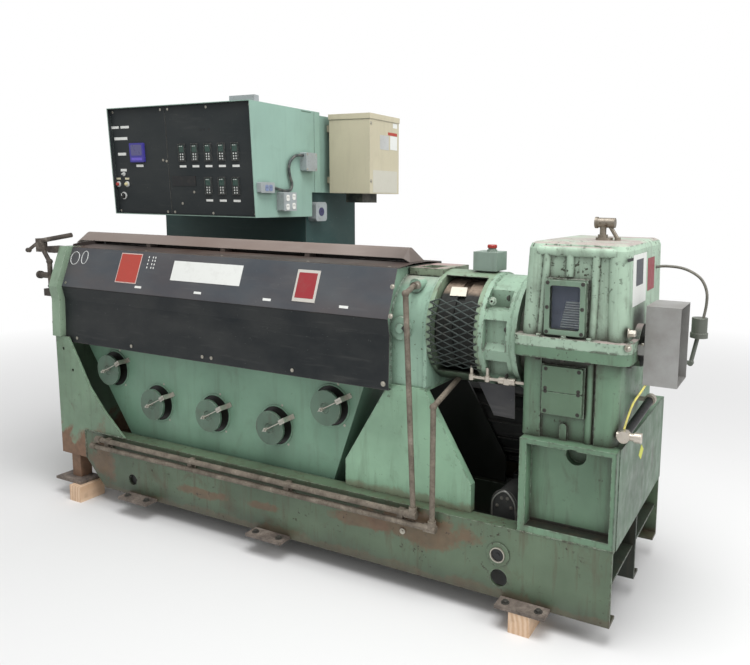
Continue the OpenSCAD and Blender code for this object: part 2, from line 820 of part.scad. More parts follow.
module throat_plate() {
    throat_x = feed_middle - throat_length / 2;
    color(rust) difference() {
        block(feed_x + 22, feed_end, throat_plate_y, throat_plate_y + throat_plate_depth, throat_floor, throat_top);
        block(throat_x, throat_x + throat_length, barrel_y - throat_width / 2, barrel_y + throat_width / 2,
            throat_floor - past, throat_top + past);
        for (x = [-1, 1], y = [-1, 1]) rod_z(throat_floor - past, throat_plate_thick + 2 * past, hopper_bolt_r,
            feed_middle + 11 + x * hopper_bolt_x / 2, barrel_y + y * hopper_bolt_y / 2);
    }
}

// open lantern between the feed housing and the thrust housing
module shaft_housing() {
    inner = lantern_length - 2 * lantern_ring;
    bore = shaft_r + 12;
    color(green) difference() {
        rod_x(feed_end, lantern_length, lantern_r, barrel_y, barrel_z);
        rod_x(feed_end + lantern_ring, inner, lantern_r - lantern_wall, barrel_y, barrel_z);
        rod_x(feed_end - past, lantern_length + 2 * past, bore, barrel_y, barrel_z);
        both_sides() block(feed_end + lantern_ring, feed_end + lantern_ring + inner,
            barrel_y - lantern_r - past, barrel_y - bore, barrel_z - window_bottom, barrel_z + window_top);
    }
}

module drive_coupling() {
    groove = 12;
    gap = 6;
    drum = lantern_length - 2 * lantern_ring - 2 * gap;
    drum_x = feed_end + lantern_ring + gap;
    color(rust) {
        rod_x(feed_end, lantern_length, shaft_r, barrel_y, barrel_z);
        difference() {
            rod_x(drum_x, drum, coupling_r, barrel_y, barrel_z);
            translate([drum_x, barrel_y, barrel_z]) rotate([0, 90, 0]) rotate_extrude() polygon([
                [coupling_r - groove, drum * 0.4], [coupling_r + past, drum * 0.4],
                [coupling_r + past, drum * 0.6], [coupling_r - groove, drum * 0.6]]);
        }
    }
}

// a point on the mesh guard, at an angle above the barrel centre as seen from the front
function on_guard(x, a, r) = [x, barrel_y - r * cos(a), barrel_z + r * sin(a)];

// one short end of a strand, turned to lie flat on the guard
module knot(x, a) {
    translate(on_guard(x, a, lantern_r + mesh_thick / 2)) rotate([a, 0, 0])
        cube([mesh_strand, mesh_thick, mesh_strand / 2], center = true);
}

// expanded metal, curved over the window: slit sheet that was stretched into diamonds
module mesh_guard() {
    x0 = feed_end + 6;
    half = mesh_long / 2;
    step = asin(mesh_short / 2 / lantern_r);
    columns = floor((lantern_length - 12) / half);
    low = -ceil((window_bottom - 30) / lantern_r * 180 / PI / step);
    high = floor(160 / lantern_r * 180 / PI / step);
    color([0.62, 0.68, 0.6]) both_sides() for (row = [low:high - 1], column = [0:columns - 1]) {
        rising = (row + column) % 2 == 0 ? 0 : 1;
        hull() {
            knot(x0 + column * half, (row + rising) * step);
            knot(x0 + (column + 1) * half, (row + 1 - rising) * step);
        }
    }
}

// cast thrust housing: a waisted body between two rims, with pockets between its ribs
module thrust_housing() {
    r = lantern_r;
    x0 = lantern_end + thrust_rim;
    x1 = thrust_end - thrust_rim - 27;
    front = barrel_y - r;
    color(green) difference() {
        translate([lantern_end, barrel_y, barrel_z]) rotate([0, 90, 0]) rotate_extrude() polygon([
            [0, 0], [r, 0], [r, thrust_rim], [thrust_waist_r, thrust_rim + 6], [thrust_waist_r, thrust_length - thrust_rim - 12],
            [r, thrust_length - thrust_rim], [r, thrust_length], [0, thrust_length]]);
        both_sides() {
            // high pocket, under the shoulder
            block(x0, x1, front - past, front + 60 + pocket_depth, barrel_z + 114, barrel_z + 208);
            // middle pocket, whose floor slopes out to the front
            upright_pocket(x0, x1);
            block(x0 + 4, x1, front - past, front + 30 + pocket_depth, barrel_z - 190, barrel_z - 96);
        }
    }
}

module upright_pocket(x0, x1) {
    front = barrel_y - lantern_r;
    along_x(x0, x1 - x0) polygon([[front - past, barrel_z + 72], [front + pocket_depth, barrel_z + 72],
        [front + pocket_depth, barrel_z - 25], [front - past, barrel_z - 68]]);
}

// sheet that hangs under the thrust housing to catch drips
module drip_plate() {
    y = barrel_y - 100;
    hang = sqrt(pow(lantern_r, 2) - pow(100, 2));
    color(grey) difference() {
        upright_plate(y, 3) polygon([[lantern_end - 62, barrel_z - hang + 8], [thrust_end - 54, barrel_z - hang + 8],
            [thrust_end - 50, barrel_z - 364], [lantern_end + 18, barrel_z - 361]]);
        rod_x(feed_end, lantern_length + thrust_length, lantern_r, barrel_y, barrel_z);
    }
}

// plan of a joint flange, with the round boss that meets the thrust housing
module joint_flange(z, thick) {
    translate([0, 0, z]) linear_extrude(thick)
        round_rectangle(thrust_end, flange_end, gear_y - joint_lip, gear_back + joint_lip, gear_corner);
}

// round bosses towards the barrel and the input shaft, cut to one side of the split line
module casting_bosses(z0, z1) {
    intersection() {
        union() {
            rod_x(thrust_end, gear_x - thrust_end + 2 * gear_corner, lantern_r - boss_step, barrel_y, barrel_z);
            rod_x(gear_end - gear_corner, flange_end - gear_end + gear_corner, input_boss_r, input_y, barrel_z);
        }
        block(thrust_end - past, flange_end + past, 0, gear_back, z0, z1);
    }
}

// an upright half-round rib on the front and back of a casting, its top set aside by a lean
module casting_rib(x, lean, z0, z1) {
    r = rib_width / 2;
    for (y = [gear_y + r, gear_back - r]) {
        bar([x + r, y, z0], [x + r + lean, y, z1], r);
    }
}

module gearbox_lower() {
    flange_z = barrel_z - lower_flange;
    rib_x = cover_plate_length / 2 + 6;
    color(green) {
        translate([0, 0, pedestal_height]) linear_extrude(flange_z - pedestal_height) difference() {
            round_rectangle(gear_x, gear_end, gear_y, gear_back, gear_corner);
            for (y = [gear_y - past, gear_back - panel_depth]) translate([gear_x + 2 * gear_corner, y])
                square([gear_length - 4 * gear_corner, panel_depth + past]);
        }
        joint_flange(flange_z, lower_flange);
        casting_bosses(pedestal_height, barrel_z);
        for (x = [gear_middle - rib_x - rib_width, gear_middle + rib_x]) casting_rib(x, 0, pedestal_height, flange_z);
        // pad behind the inspection covers, and the short rib with a round head below them
        block(gear_middle - rib_x, gear_middle + rib_x, gear_y, gear_y + panel_depth + past,
            high_cover_z - low_cover_height - 4, high_cover_z + high_cover_height + 4);
        block(gear_middle - 8, gear_middle + 20, gear_y, gear_y + panel_depth + past, pedestal_height, pedestal_height + 54);
        rod_y(gear_y, panel_depth + past, 14, gear_middle + 6, pedestal_height + 54);
    }
}

// a round column that leans: the corner of the upper casting
module corner_column(x, y, lean) {
    hull() column_ends(x, y, lean);
}

module column_ends(x, y, lean) {
    r = gear_corner;
    facets = 32;
    translate([x, y, barrel_z]) cylinder(r = r, h = upper_flange, $fn = facets);
    translate([x + lean, y, gear_top_z - gear_bevel])
        cylinder(r1 = r, r2 = r - gear_bevel * 0.3, h = gear_bevel * 0.7, $fn = facets);
    translate([x + lean, y, gear_top_z - gear_bevel * 0.3])
        cylinder(r1 = r - gear_bevel * 0.3, r2 = r - gear_bevel, h = gear_bevel * 0.3, $fn = facets);
}

module gearbox_upper() {
    r = gear_corner;
    top_lean = gear_lean * 0.4;
    x_low = gear_x - 11 + r;
    x_high = gear_end + 22 - r;
    rib_x = sight_length / 2 + 5;
    rib_top = gear_top_z - 34;
    color(green) {
        joint_flange(barrel_z, upper_flange);
        casting_bosses(barrel_z, gear_top_z);
        for (y = [gear_y + r, gear_back - r]) {
            corner_column(x_low, y, gear_lean);
            corner_column(x_high, y, -top_lean);
        }
        // walls between the corners, set back from the columns
        hull() for (y = [gear_y + r + panel_depth, gear_back - r - panel_depth]) {
            column_ends(x_low, y, gear_lean);
            column_ends(x_high, y, -top_lean);
        }
        casting_rib(gear_middle - rib_x - rib_width, gear_lean, barrel_z, rib_top);
        casting_rib(gear_middle + rib_x, top_lean, barrel_z, rib_top);
        casting_rib(gear_middle - rib_width / 2 + 8, 0, sight_z + sight_height + 14, rib_top);
        // round brow over the ribs, and the pad of the sight window
        for (y = [gear_y + rib_width / 2, gear_back - rib_width / 2]) rod_x(x_low + gear_lean,
            x_high - x_low - gear_lean - top_lean, rib_width / 2 + 3, y, rib_top);
        difference() {
            block(gear_middle - rib_x, gear_middle + rib_x, gear_y, gear_y + r, sight_z - 6, sight_z + sight_height + 6);
            block(gear_middle - sight_length / 2 + sight_border, gear_middle + sight_length / 2 - sight_border,
                gear_y - past, gear_y + panel_depth - 2, sight_z + sight_border, sight_z + sight_height - sight_border);
        }
    }
}

module gearbox_covers() {
    half = cover_plate_length / 2;
    seam = 1;
    color(green) for (part = [[high_cover_z + seam, high_cover_z + high_cover_height],
            [high_cover_z - low_cover_height, high_cover_z - seam]]) {
        upright_plate(gear_y - cover_plate_thick, cover_plate_thick)
            round_rectangle(gear_middle - half, gear_middle + half, part[0], part[1], 8);
    }
}

// outline of the sight window, drawn in by a margin
module sight_outline(margin) {
    half = sight_length / 2 - margin;
    round_rectangle(gear_middle - half, gear_middle + half, sight_z + margin, sight_z + sight_height - margin, 10);
}

module window_frame() {
    color(grey) upright_plate(gear_y - 16, 16) difference() {
        sight_outline(0);
        sight_outline(sight_border);
    }
}

module window_glass() {
    color([0.4, 0.45, 0.45]) upright_plate(gear_y - 10, 6) sight_outline(sight_border);
}

// oil filler and breather on top of the gearbox: a head that lies across an upright and a slanted leg
module breather() {
    x = gear_middle + 59;
    y = gear_y + 269;
    head = 69;
    color(steel) translate([x, y, gear_top_z]) {
        rod_z(0, 10, 34, 6, 0);
        rod_z(0, head, 13, 0, 0);
        rod_z(8, 14, 20, 0, 0);
        rod_x(-28, 76, 20, 0, head);
        rod_x(-32, 10, 23, 0, head);
        bar([22, 0, head - 4], [60, 0, 6], 8);
        rod_z(0, 12, 12, 60, 0);
    }
}

// sheet guard over the input shaft: open away from the gearbox, held off the joint flanges by two brackets
module shaft_guard() {
    t = guard_sheet;
    x = flange_end + guard_gap;
    bracket = 30;
    color(steel) {
        difference() {
            block(x, guard_end, guard_y, guard_y + guard_width, guard_z, guard_z + guard_height);
            block(x + t, guard_end + past, guard_y + t, guard_y + guard_width - t, guard_z + t,
                guard_z + guard_height - t);
        }
        for (y = [guard_y + t, guard_y + guard_width - t - bracket]) {
            block(flange_end, x + t, y, y + bracket, barrel_z - 20, barrel_z + 16);
        }
    }
}

// sensor on its arm, which comes out of the side of the gearbox behind the guard
module speed_sensor() {
    arm_r = 9;
    arm_z = guard_z + 14;
    elbow_x = sensor_x - 26;
    color(dark) {
        rod_z(sensor_z, sensor_height, sensor_r - 4, sensor_x, sensor_y);
        rod_z(sensor_z, sensor_height * 0.25, sensor_r, sensor_x, sensor_y);
        bar([elbow_x, sensor_y, arm_z], [sensor_x - 4, sensor_y, sensor_z + 4], arm_r);
        rod_x(gear_end, elbow_x - gear_end, arm_r, sensor_y, arm_z);
        rod_y(sensor_y - arm_r - 3, 2 * arm_r + 6, arm_r + 3, elbow_x, arm_z);
    }
}

// emergency stop on a foot on top of the shaft housing
module stop_box() {
    x0 = feed_end + 124;
    x1 = x0 + 109;
    z0 = barrel_z + lantern_r + 4;
    y0 = barrel_y - 50;
    color(green) {
        block(x0, x1, y0, y0 + 112, z0, z0 + 81);
        rod_z(z0 + 80, 9, 22, x0 + 66, y0 + 50);
        rod_z(z0 + 88, 22, 17, x0 + 66, y0 + 50);
        difference() {
            block(x0 + 20, x1 - 20, y0 + 20, y0 + 80, barrel_z + lantern_r - 20, z0 + past);
            rod_x(feed_end, lantern_length, lantern_r, barrel_y, barrel_z);
        }
    }
}

pipe_y = -30;
header_r = 13;
riser_r = 12;
high_header_z = 286;
low_header_z = 243;
inner_riser_x = -844;
outer_riser_x = -752;

// water headers along the front of the base, on brackets, with tees for the risers
module header_pipes() {
    tee_r = header_r + 5;
    color(rust) {
        for (line = [[weld_x + 132, inner_riser_x, high_header_z], [weld_x + 88, outer_riser_x, low_header_z]]) {
            rod_x(line[0], line[1] - line[0] + tee_r, header_r, pipe_y, line[2]);
            rod_x(line[1] - 2 * tee_r, 3 * tee_r, tee_r, pipe_y, line[2]);
            rod_z(line[2], 34, tee_r, line[1], pipe_y);
            rod_x(line[0], 34, tee_r, pipe_y, line[2]);
        }
        for (i = [0:3]) {
            x = weld_x + 205 + i * (inner_riser_x - 66 - weld_x - 205) / 3;
            block(x - 14, x + 14, pipe_y, 0, low_header_z - 8, high_header_z + 8);
        }
    }
}

// risers: one to the boss on the feed housing, one back to the shaft housing
module riser_pipes() {
    boss = [feed_middle + 9, barrel_y - 190, barrel_z + 182];
    knee = [feed_middle + 48, pipe_y, barrel_z + 166];
    turn = [outer_riser_x, pipe_y, 770];
    color(rust) {
        bar([inner_riser_x, pipe_y, high_header_z + 34], knee, riser_r);
        bar(knee, boss, riser_r);
        rod_y(boss[1] - 8, 18, riser_r + 4, boss[0], boss[2]);
        translate(knee) sphere(r = riser_r + 4);
        difference() {
            union() {
                bar([outer_riser_x, pipe_y, low_header_z + 34], turn, riser_r);
                bar(turn, [outer_riser_x + 10, barrel_y - 110, barrel_z - 215], riser_r);
                translate(turn) sphere(r = riser_r + 4);
            }
            rod_x(feed_end, lantern_length, lantern_r, barrel_y, barrel_z);
        }
    }
}

// oil line under the thrust housing with two valves, and the suction hose at the gearbox end
module oil_pipes() {
    y = barrel_y - 200;
    r = 7;
    z = barrel_z - 178;
    port_y = gear_y + 18;
    port_z = pedestal_height + 52;
    hose_end = [gear_end + 52, 400, port_z + 60];
    color(steel) {
        difference() {
            union() {
                for (x = [lantern_end - 44, lantern_end + 28]) {
                    rod_z(z, 90, r, x, y);
                    rod_z(z - 12, 24, 12, x, y);
                }
                rod_x(lantern_end - 44, gear_x - lantern_end + 44, r, y, z);
                for (x = [lantern_end + 80, lantern_end + 128]) rod_x(x, 24, 15, y, z);
                block(lantern_end + 104, lantern_end + 128, y - 13, y + 13, z - 13, z + 13);
            }
            rod_x(feed_end, lantern_length + thrust_length, lantern_r, barrel_y, barrel_z);
        }
        // drain fitting, and the hose that runs back to the pump connection
        rod_x(gear_end, 66, 15, port_y, port_z);
        rod_x(gear_end + 66, 26, 20, port_y, port_z);
        rod_y(port_y - 22, 48, 23, gear_end + 28, port_z);
        bar([gear_end + 28, port_y + 10, port_z], hose_end, 17);
        rod_y(hose_end[1] - 14, 30, 23, hose_end[0], hose_end[2]);
        rod_x(gear_end, 52, 10, hose_end[1], hose_end[2]);
    }
}

// a motor with cooling fins round its body and a fan cowl at one end
module motor(x0, x1, r, y, z) {
    rod_x(x0, x1 - x0, r * 0.9, y, z);
    rod_x(x0, 60, r, y, z);
    rod_x(x1 - 60, 60, r, y, z);
    for (i = [0:17]) translate([x0 + 50, y, z]) rotate([i * 20, 0, 0]) translate([0, -3, 0])
        cube([x1 - x0 - 100, 6, r - 4]);
}

// main motor across the middle and rear rails, and the round-topped oil pump on the shelf
module motor_and_pump() {
    back_y = middle_rail_y + support_back_step + support_sheet;
    main_r = (base_depth - back_y) / 2 - 4;
    main_y = (base_depth + back_y) / 2;
    main_z = rail_height + main_r + 20;
    pump_x = -498;
    pump_half = 54;
    pump_z = shelf_top + 191;
    rim = 5;
    color(dark) {
        motor(-1130, -420, main_r, main_y, main_z);
        for (x = [-1030, -590]) {
            block(x, x + 70, main_y - main_r + 12, main_y + main_r - 12, rail_height, rail_height + 34);
            block(x, x + 70, main_y - main_r / 2, main_y + main_r / 2, rail_height, rail_height + main_r / 2);
        }
        for (part = [[140, 12, rim], [146, 150, 0]]) upright_plate(part[0], part[1]) {
            translate([pump_x, pump_z]) circle(pump_half + part[2]);
            translate([pump_x - pump_half - part[2], shelf_top]) square([2 * (pump_half + part[2]), pump_z - shelf_top]);
        }
    }
}

// floor cabinet under the console, on a plinth
module console_cabinet() {
    x1 = -cabinet_gap;
    x0 = x1 - cabinet_length;
    back = cabinet_y + cabinet_depth;
    plinth = 60;
    color(dark) {
        block(x0, x1, cabinet_y, back, plinth - timber, cabinet_height);
        block(x0 + 20, x1 - 20, cabinet_y + 20, back - 20, -timber, plinth - timber);
    }
}

// children in the leaning front of the console: X as before, Y into the console, Z up along the front
module on_console_front() {
    slope = atan2(console_lean, console_height);
    translate([0, console_y + console_lean, console_z]) rotate([slope, 0, 0]) children();
}
front_height = norm([console_lean, console_height]);

// cantilevered console: its back stands on the cabinet and its front hangs over the barrel;
// behind its end a panel rises from the cabinet to carry the starter box
module console_housing() {
    groove = 3;
    rim = 4;
    color(green) difference() {
        union() {
            along_x(console_x, console_length) polygon([
                [console_y + console_lean, console_z], [cabinet_y, console_z], [cabinet_y, cabinet_height],
                [console_back, cabinet_height], [console_back, console_top_z], [console_y, console_top_z]]);
            block(-cabinet_gap - mounting_panel / 2, -cabinet_gap + mounting_panel / 2, console_back - past,
                starter_y + starter_depth, cabinet_height, cabinet_height + starter_height - 10);
        }
        // seam of the rear door, and the recess for the panels
        for (x = [console_x - past, -console_gap - groove]) block(x, x + groove + past, console_back - 55,
            console_back - 51, console_z, console_top_z + past);
        on_console_front() translate([console_x + rim, -past, rim])
            cube([console_length - 2 * rim, panel_recess + past, front_height - 2 * rim]);
    }
}

// the two instrument panels, with a frame for each temperature controller
module console_panels() {
    edge = 6;
    seam = 4;
    frame = 6;
    high = controller_side;
    wide = high / 2;
    upper_row = [for (i = [0:4]) [-console_gap - 532 + i * 99, 353]];
    lower_row = [for (i = [0:2]) [-console_gap - 346 + i * 101, 169]];
    color(dark) on_console_front() translate([0, panel_recess, 0]) {
        for (part = [[console_x + edge, panel_split - seam / 2], [panel_split + seam / 2, -console_gap - edge]])
            translate([part[0], -panel_sheet, edge]) cube([part[1] - part[0], panel_sheet, front_height - 2 * edge]);
        for (place = concat(upper_row, lower_row)) translate([place[0], -panel_sheet, place[1]])
            rotate([90, 0, 0]) linear_extrude(8) difference() {
                square([wide, high], center = true);
                square([wide - frame, high - frame], center = true);
            }
    }
}

module starter_box() {
    lid = 32;
    lip = 4;
    z = cabinet_height - 2;
    color([0.72, 0.69, 0.58]) {
        block(starter_x, starter_x + starter_length, starter_y, starter_y + starter_depth, z, z + starter_height);
        block(starter_x - lip, starter_x + starter_length + lip, starter_y - lip, starter_y + starter_depth + lip,
            z + starter_height - lid, z + starter_height);
        // rails to the mounting panel, and the gland plate underneath
        for (h = [60, starter_height - 100]) block(starter_x - starter_gap, starter_x + past, starter_y + 40,
            starter_y + starter_depth - 20, z + h, z + h + 40);
        block(starter_x + 80, starter_x + 200, starter_y + 60, starter_y + 220, z - 55, z + past);
    }
}

// boxes on the side of the console and the cabinet, and the lamp on top of the console
module outlet_boxes() {
    side = -console_gap;
    color(steel) {
        // junction box, small outlet, double outlet, and the plate with round corners
        for (part = [[46, 414, 516, 266, 371], [30, 44, 155, 135, 192], [52, 204, 315, 36, 141]]) along_x(side, part[0])
            round_rectangle(console_y + part[1], console_y + part[2], console_z + part[3], console_z + part[4], 6);
        along_x(-cabinet_gap, 60)
            round_rectangle(cabinet_y + 24, cabinet_y + 132, cabinet_height - 172, cabinet_height - 57, 20);
        block(side - 175, side, console_y + 40, console_y + 76, console_top_z, console_top_z + 32);
    }
}

// a smooth run of points through the points given
function smooth(p, steps) = let (n = len(p)) [for (i = [0:n - 2], s = [0:steps - 1 + (i == n - 2 ? 1 : 0)])
    let (t = s / steps, a = p[max(i - 1, 0)], b = p[i], c = p[i + 1], d = p[min(i + 2, n - 1)])
    0.5 * (2 * b + (c - a) * t + (2 * a - 5 * b + 4 * c - d) * t * t + (3 * b - a - 3 * c + d) * t * t * t)];

// a tube swept along a route; side is a direction that the route never takes
module tube(route, r, side) {
    sides = 8;
    p = smooth(route, 2);
    n = len(p);
    rings = [for (i = [0:n - 1])
        let (along = p[min(i + 1, n - 1)] - p[max(i - 1, 0)], t = along / norm(along),
            u = cross(side, t) / norm(cross(side, t)), v = cross(t, u))
        for (k = [0:sides - 1]) p[i] + r * (u * cos(k * 360 / sides) + v * sin(k * 360 / sides))];
    walls = [for (i = [0:n - 2], k = [0:sides - 1])
        let (a = i * sides + k, b = i * sides + (k + 1) % sides) [a, a + sides, b + sides, b]];
    polyhedron(rings, concat(walls, [[for (k = [0:sides - 1]) k]],
        [[for (k = [sides - 1:-1:0]) (n - 1) * sides + k]]), convexity = 4);
}

// routes of the cables that the machine holds from end to end, each from its own corner
sensor_route = [for (p = [[15, 285], [53, 291], [114, 288], [163, 272], [204, 242], [226, 194], [228, 140], [220, 84]])
    [gear_end + p[0], sensor_y, sensor_z + p[1]]];
oil_sensor_route = [for (p = [[80, 105, -132], [68, 73, -157], [50, 45, -192], [36, 29, -242], [26, 18, -290]])
    [gear_end, gear_y, barrel_z] + p];
conduit_route = [for (p = [[23, 414, 355], [14, 358, 348], [15, 310, 316], [15, 296, 277], [15, 303, 232],
    [15, 320, 188], [15, 306, 155], [15, 249, 149], [20, 155, 165]]) [-console_gap, console_y, console_z] + p];

module cables() {
    color(dark) {
        tube(sensor_route, 6, [0, 1, 0]);
        tube(oil_sensor_route, 4, [1, 0, 0]);
        tube(conduit_route, 8, [1, 0, 0]);
    }
}

// put the part in its frame: origin on the floor, in the middle of its length and depth
module placed() {
    translate([-middle_x, -middle_y, timber]) children();
}

placed() front_rail();
placed() middle_rail();
placed() rear_rail();
placed() end_frame();
placed() base_shelf();
placed() gearbox_pedestal();
placed() levelling_pads();
placed() timber_blocks();
placed() feed_support();
placed() cooling_box();
placed() damper_discs();
placed() damper_rods();
placed() lower_panels();
placed() upper_panels();
placed() cover_roof();
placed() ridge_cap();
placed() discharge_end_plate();
placed() barrel();
placed() swing_clamp();
placed() feed_housing();
placed() throat_plate();
placed() shaft_housing();
placed() drive_coupling();
placed() mesh_guard();
placed() thrust_housing();
placed() drip_plate();
placed() gearbox_lower();
placed() gearbox_upper();
placed() gearbox_covers();
placed() window_frame();
placed() window_glass();
placed() breather();
placed() shaft_guard();
placed() speed_sensor();
placed() stop_box();
placed() header_pipes();
placed() riser_pipes();
placed() oil_pipes();
placed() motor_and_pump();
placed() console_cabinet();
placed() console_housing();
placed() console_panels();
placed() starter_box();
placed() outlet_boxes();
placed() cables();
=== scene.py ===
import bmesh
import bpy
import math
from mathutils import Matrix, Vector


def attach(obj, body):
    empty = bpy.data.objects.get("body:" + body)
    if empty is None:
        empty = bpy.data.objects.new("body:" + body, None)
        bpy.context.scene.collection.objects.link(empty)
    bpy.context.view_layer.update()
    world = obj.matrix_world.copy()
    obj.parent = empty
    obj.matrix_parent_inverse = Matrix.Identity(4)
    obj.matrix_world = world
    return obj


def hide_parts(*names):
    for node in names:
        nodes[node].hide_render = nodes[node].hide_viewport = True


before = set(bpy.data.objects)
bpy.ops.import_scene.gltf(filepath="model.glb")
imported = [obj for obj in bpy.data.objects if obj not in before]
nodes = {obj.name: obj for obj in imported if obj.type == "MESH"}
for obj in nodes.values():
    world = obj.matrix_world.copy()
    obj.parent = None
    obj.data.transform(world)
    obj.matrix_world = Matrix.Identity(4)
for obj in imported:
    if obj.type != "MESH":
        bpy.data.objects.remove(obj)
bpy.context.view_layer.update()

# Viewpoint
# A person's eye height in front of the gearbox end, looking along the machine
# towards the discharge end. Sizes below are in the machine's own millimetres, in
# which the frame's origin is at this place.
origin_x, origin_y, origin_z = -1564, 701.5, -89


def at(x, y, z):
    """Millimetres on the machine (X 0 at its gearbox end, Z 0 under its rails) to metres in the frame."""
    return Vector(((x - origin_x) / 1000, (y - origin_y) / 1000, (z - origin_z) / 1000))


def into_scene(name, data):
    """A new object in the scene, at the origin."""
    piece = bpy.data.objects.new(name, data)
    bpy.context.scene.collection.objects.link(piece)
    return piece


view_yaw, view_pitch, view_roll = math.radians(-26.78), math.radians(8.02), math.radians(-0.81)
ahead = Vector((math.sin(view_yaw) * math.cos(view_pitch), math.cos(view_yaw) * math.cos(view_pitch),
                -math.sin(view_pitch)))
level = Vector((math.cos(view_yaw), -math.sin(view_yaw), 0))
below = ahead.cross(level)
across = level * math.cos(view_roll) + below * math.sin(view_roll)
downwards = below * math.cos(view_roll) - level * math.sin(view_roll)
camera = bpy.data.cameras.new("camera")
camera.lens, camera.sensor_width = 34.536, 36
camera.shift_x, camera.shift_y = -0.0986, -0.0435
viewer = into_scene("camera", camera)
eye = at(584.456, -2549.276, 1615.4)
viewer.matrix_world = Matrix.Translation(eye) @ Matrix((across, -downwards, -ahead)).transposed().to_4x4()
bpy.context.scene.camera = viewer

# Sensor, oil and console cables
# The sensor hose and the console conduit are grey and black sheathed tubes, the
# oil sensor's cable is a thin yellow one; each is held at both of its ends.


def colour(red, green, blue):
    """A colour as the eye sees it, 0 to 255, as the shader's light values."""
    return tuple(((v / 255 + 0.055) / 1.055) ** 2.4 if v > 10 else v / 255 / 12.92 for v in (red, green, blue)) + (1,)


def give(tree, piece, inputs):
    """Sets or links a node's inputs."""
    for key, value in inputs.items():
        if isinstance(value, bpy.types.NodeSocket):
            tree.links.new(value, piece.inputs[key])
        else:
            piece.inputs[key].default_value = value


def wire(tree, kind, inputs=None, **settings):
    """Adds one node with its settings and inputs."""
    piece = tree.nodes.new(kind)
    for key, value in settings.items():
        setattr(piece, key, value)
    give(tree, piece, inputs or {})
    return piece


def new_finish(name):
    """An empty material with its tree, its surface shader and the place on the piece in metres."""
    material = bpy.data.materials.new(name)
    material.use_nodes = True
    tree = material.node_tree
    tree.nodes.clear()
    shader = tree.nodes.new("ShaderNodeBsdfPrincipled")
    wire(tree, "ShaderNodeOutputMaterial", {"Surface": shader.outputs["BSDF"]})
    place = tree.nodes.new("ShaderNodeTexCoord").outputs["Object"]
    return material, tree, shader, place


def noise(tree, place, scale, detail=4, rough=0.55, stretch=(1, 1, 1), shift=(0, 0, 0), bend=0.0):
    """Cloudy noise about one half, drawn out or moved where that is asked."""
    if stretch != (1, 1, 1) or shift != (0, 0, 0):
        moved = wire(tree, "ShaderNodeMapping", {"Vector": place, "Scale": stretch, "Location": shift})
        place = moved.outputs["Vector"]
    return wire(tree, "ShaderNodeTexNoise", {"Vector": place, "Scale": scale, "Detail": detail,
                                             "Roughness": rough, "Distortion": bend}).outputs["Fac"]


def remap(tree, value, low, high, to_low=0.0, to_high=1.0):
    return wire(tree, "ShaderNodeMapRange", {"Value": value, "From Min": low, "From Max": high,
                                             "To Min": to_low, "To Max": to_high}, clamp=True).outputs["Result"]


def maths(tree, operation, a, b=0.0):
    return wire(tree, "ShaderNodeMath", {0: a, 1: b}, operation=operation).outputs["Value"]


def times(tree, a, b):
    return maths(tree, "MULTIPLY", a, b)


def blend(tree, share, under, over):
    return wire(tree, "ShaderNodeMixRGB", {"Fac": share, "Color1": under, "Color2": over}).outputs["Color"]


def relief(tree, shader, height, distance, strength=0.5, normal=None):
    """Fine relief, on top of the surface's own normal or of the one that is given."""
    bump = wire(tree, "ShaderNodeBump", {"Height": height, "Distance": distance, "Strength": strength})
    if normal:
        give(tree, bump, {"Normal": normal})
    give(tree, shader, {"Normal": bump.outputs["Normal"]})


def sheath(name, tint, rough):
    """Plastic cable sheath, with dust that lies on it in patches."""
    material, tree, shader, place = new_finish(name)
    dust = remap(tree, noise(tree, place, 45), 0.45, 0.75, 0, 0.5)
    skin = blend(tree, dust, colour(*tint), colour(150, 145, 135))
    give(tree, shader, {"Base Color": skin, "Roughness": remap(tree, dust, 0, 0.5, rough, 0.8)})
    relief(tree, shader, noise(tree, place, 900, 2), 0.0003)
    return material


def smooth_route(points):
    """The Catmull-Rom curve through the points, which is the one that the cables' solids follow."""
    steps = 4
    route = []
    last = len(points) - 1
    for i in range(last):
        a, b = points[max(i - 1, 0)], points[i]
        c, d = points[i + 1], points[min(i + 2, last)]
        for s in range(steps):
            t = s / steps
            square, cube = 2 * a - 5 * b + 4 * c - d, 3 * b - a - 3 * c + d
            route.append(0.5 * (2 * b + (c - a) * t + square * t * t + cube * t ** 3))
    return route + [points[last]]


def kept(name, data):
    """A piece of the machine's one body."""
    piece = into_scene(name, data)
    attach(piece, "root")
    return piece


def tube_along(name, stops, radius, material):
    """A round tube through the stops; gives the piece and its route."""
    route = smooth_route([at(*stop) for stop in stops])
    line = bpy.data.curves.new(name, "CURVE")
    line.dimensions, line.bevel_depth, line.bevel_resolution, line.use_fill_caps = "3D", radius / 1000, 4, True
    spline = line.splines.new("POLY")
    spline.points.add(len(route) - 1)
    for knot, point in zip(spline.points, route):
        knot.co = (*point, 1)
    line.materials.append(material)
    return kept(name, line), route


def cable(name, stops, radius, material):
    """A cable from its exit to the place where it goes back into the machine."""
    piece, route = tube_along(name, stops, radius, material)
    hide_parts("cables")


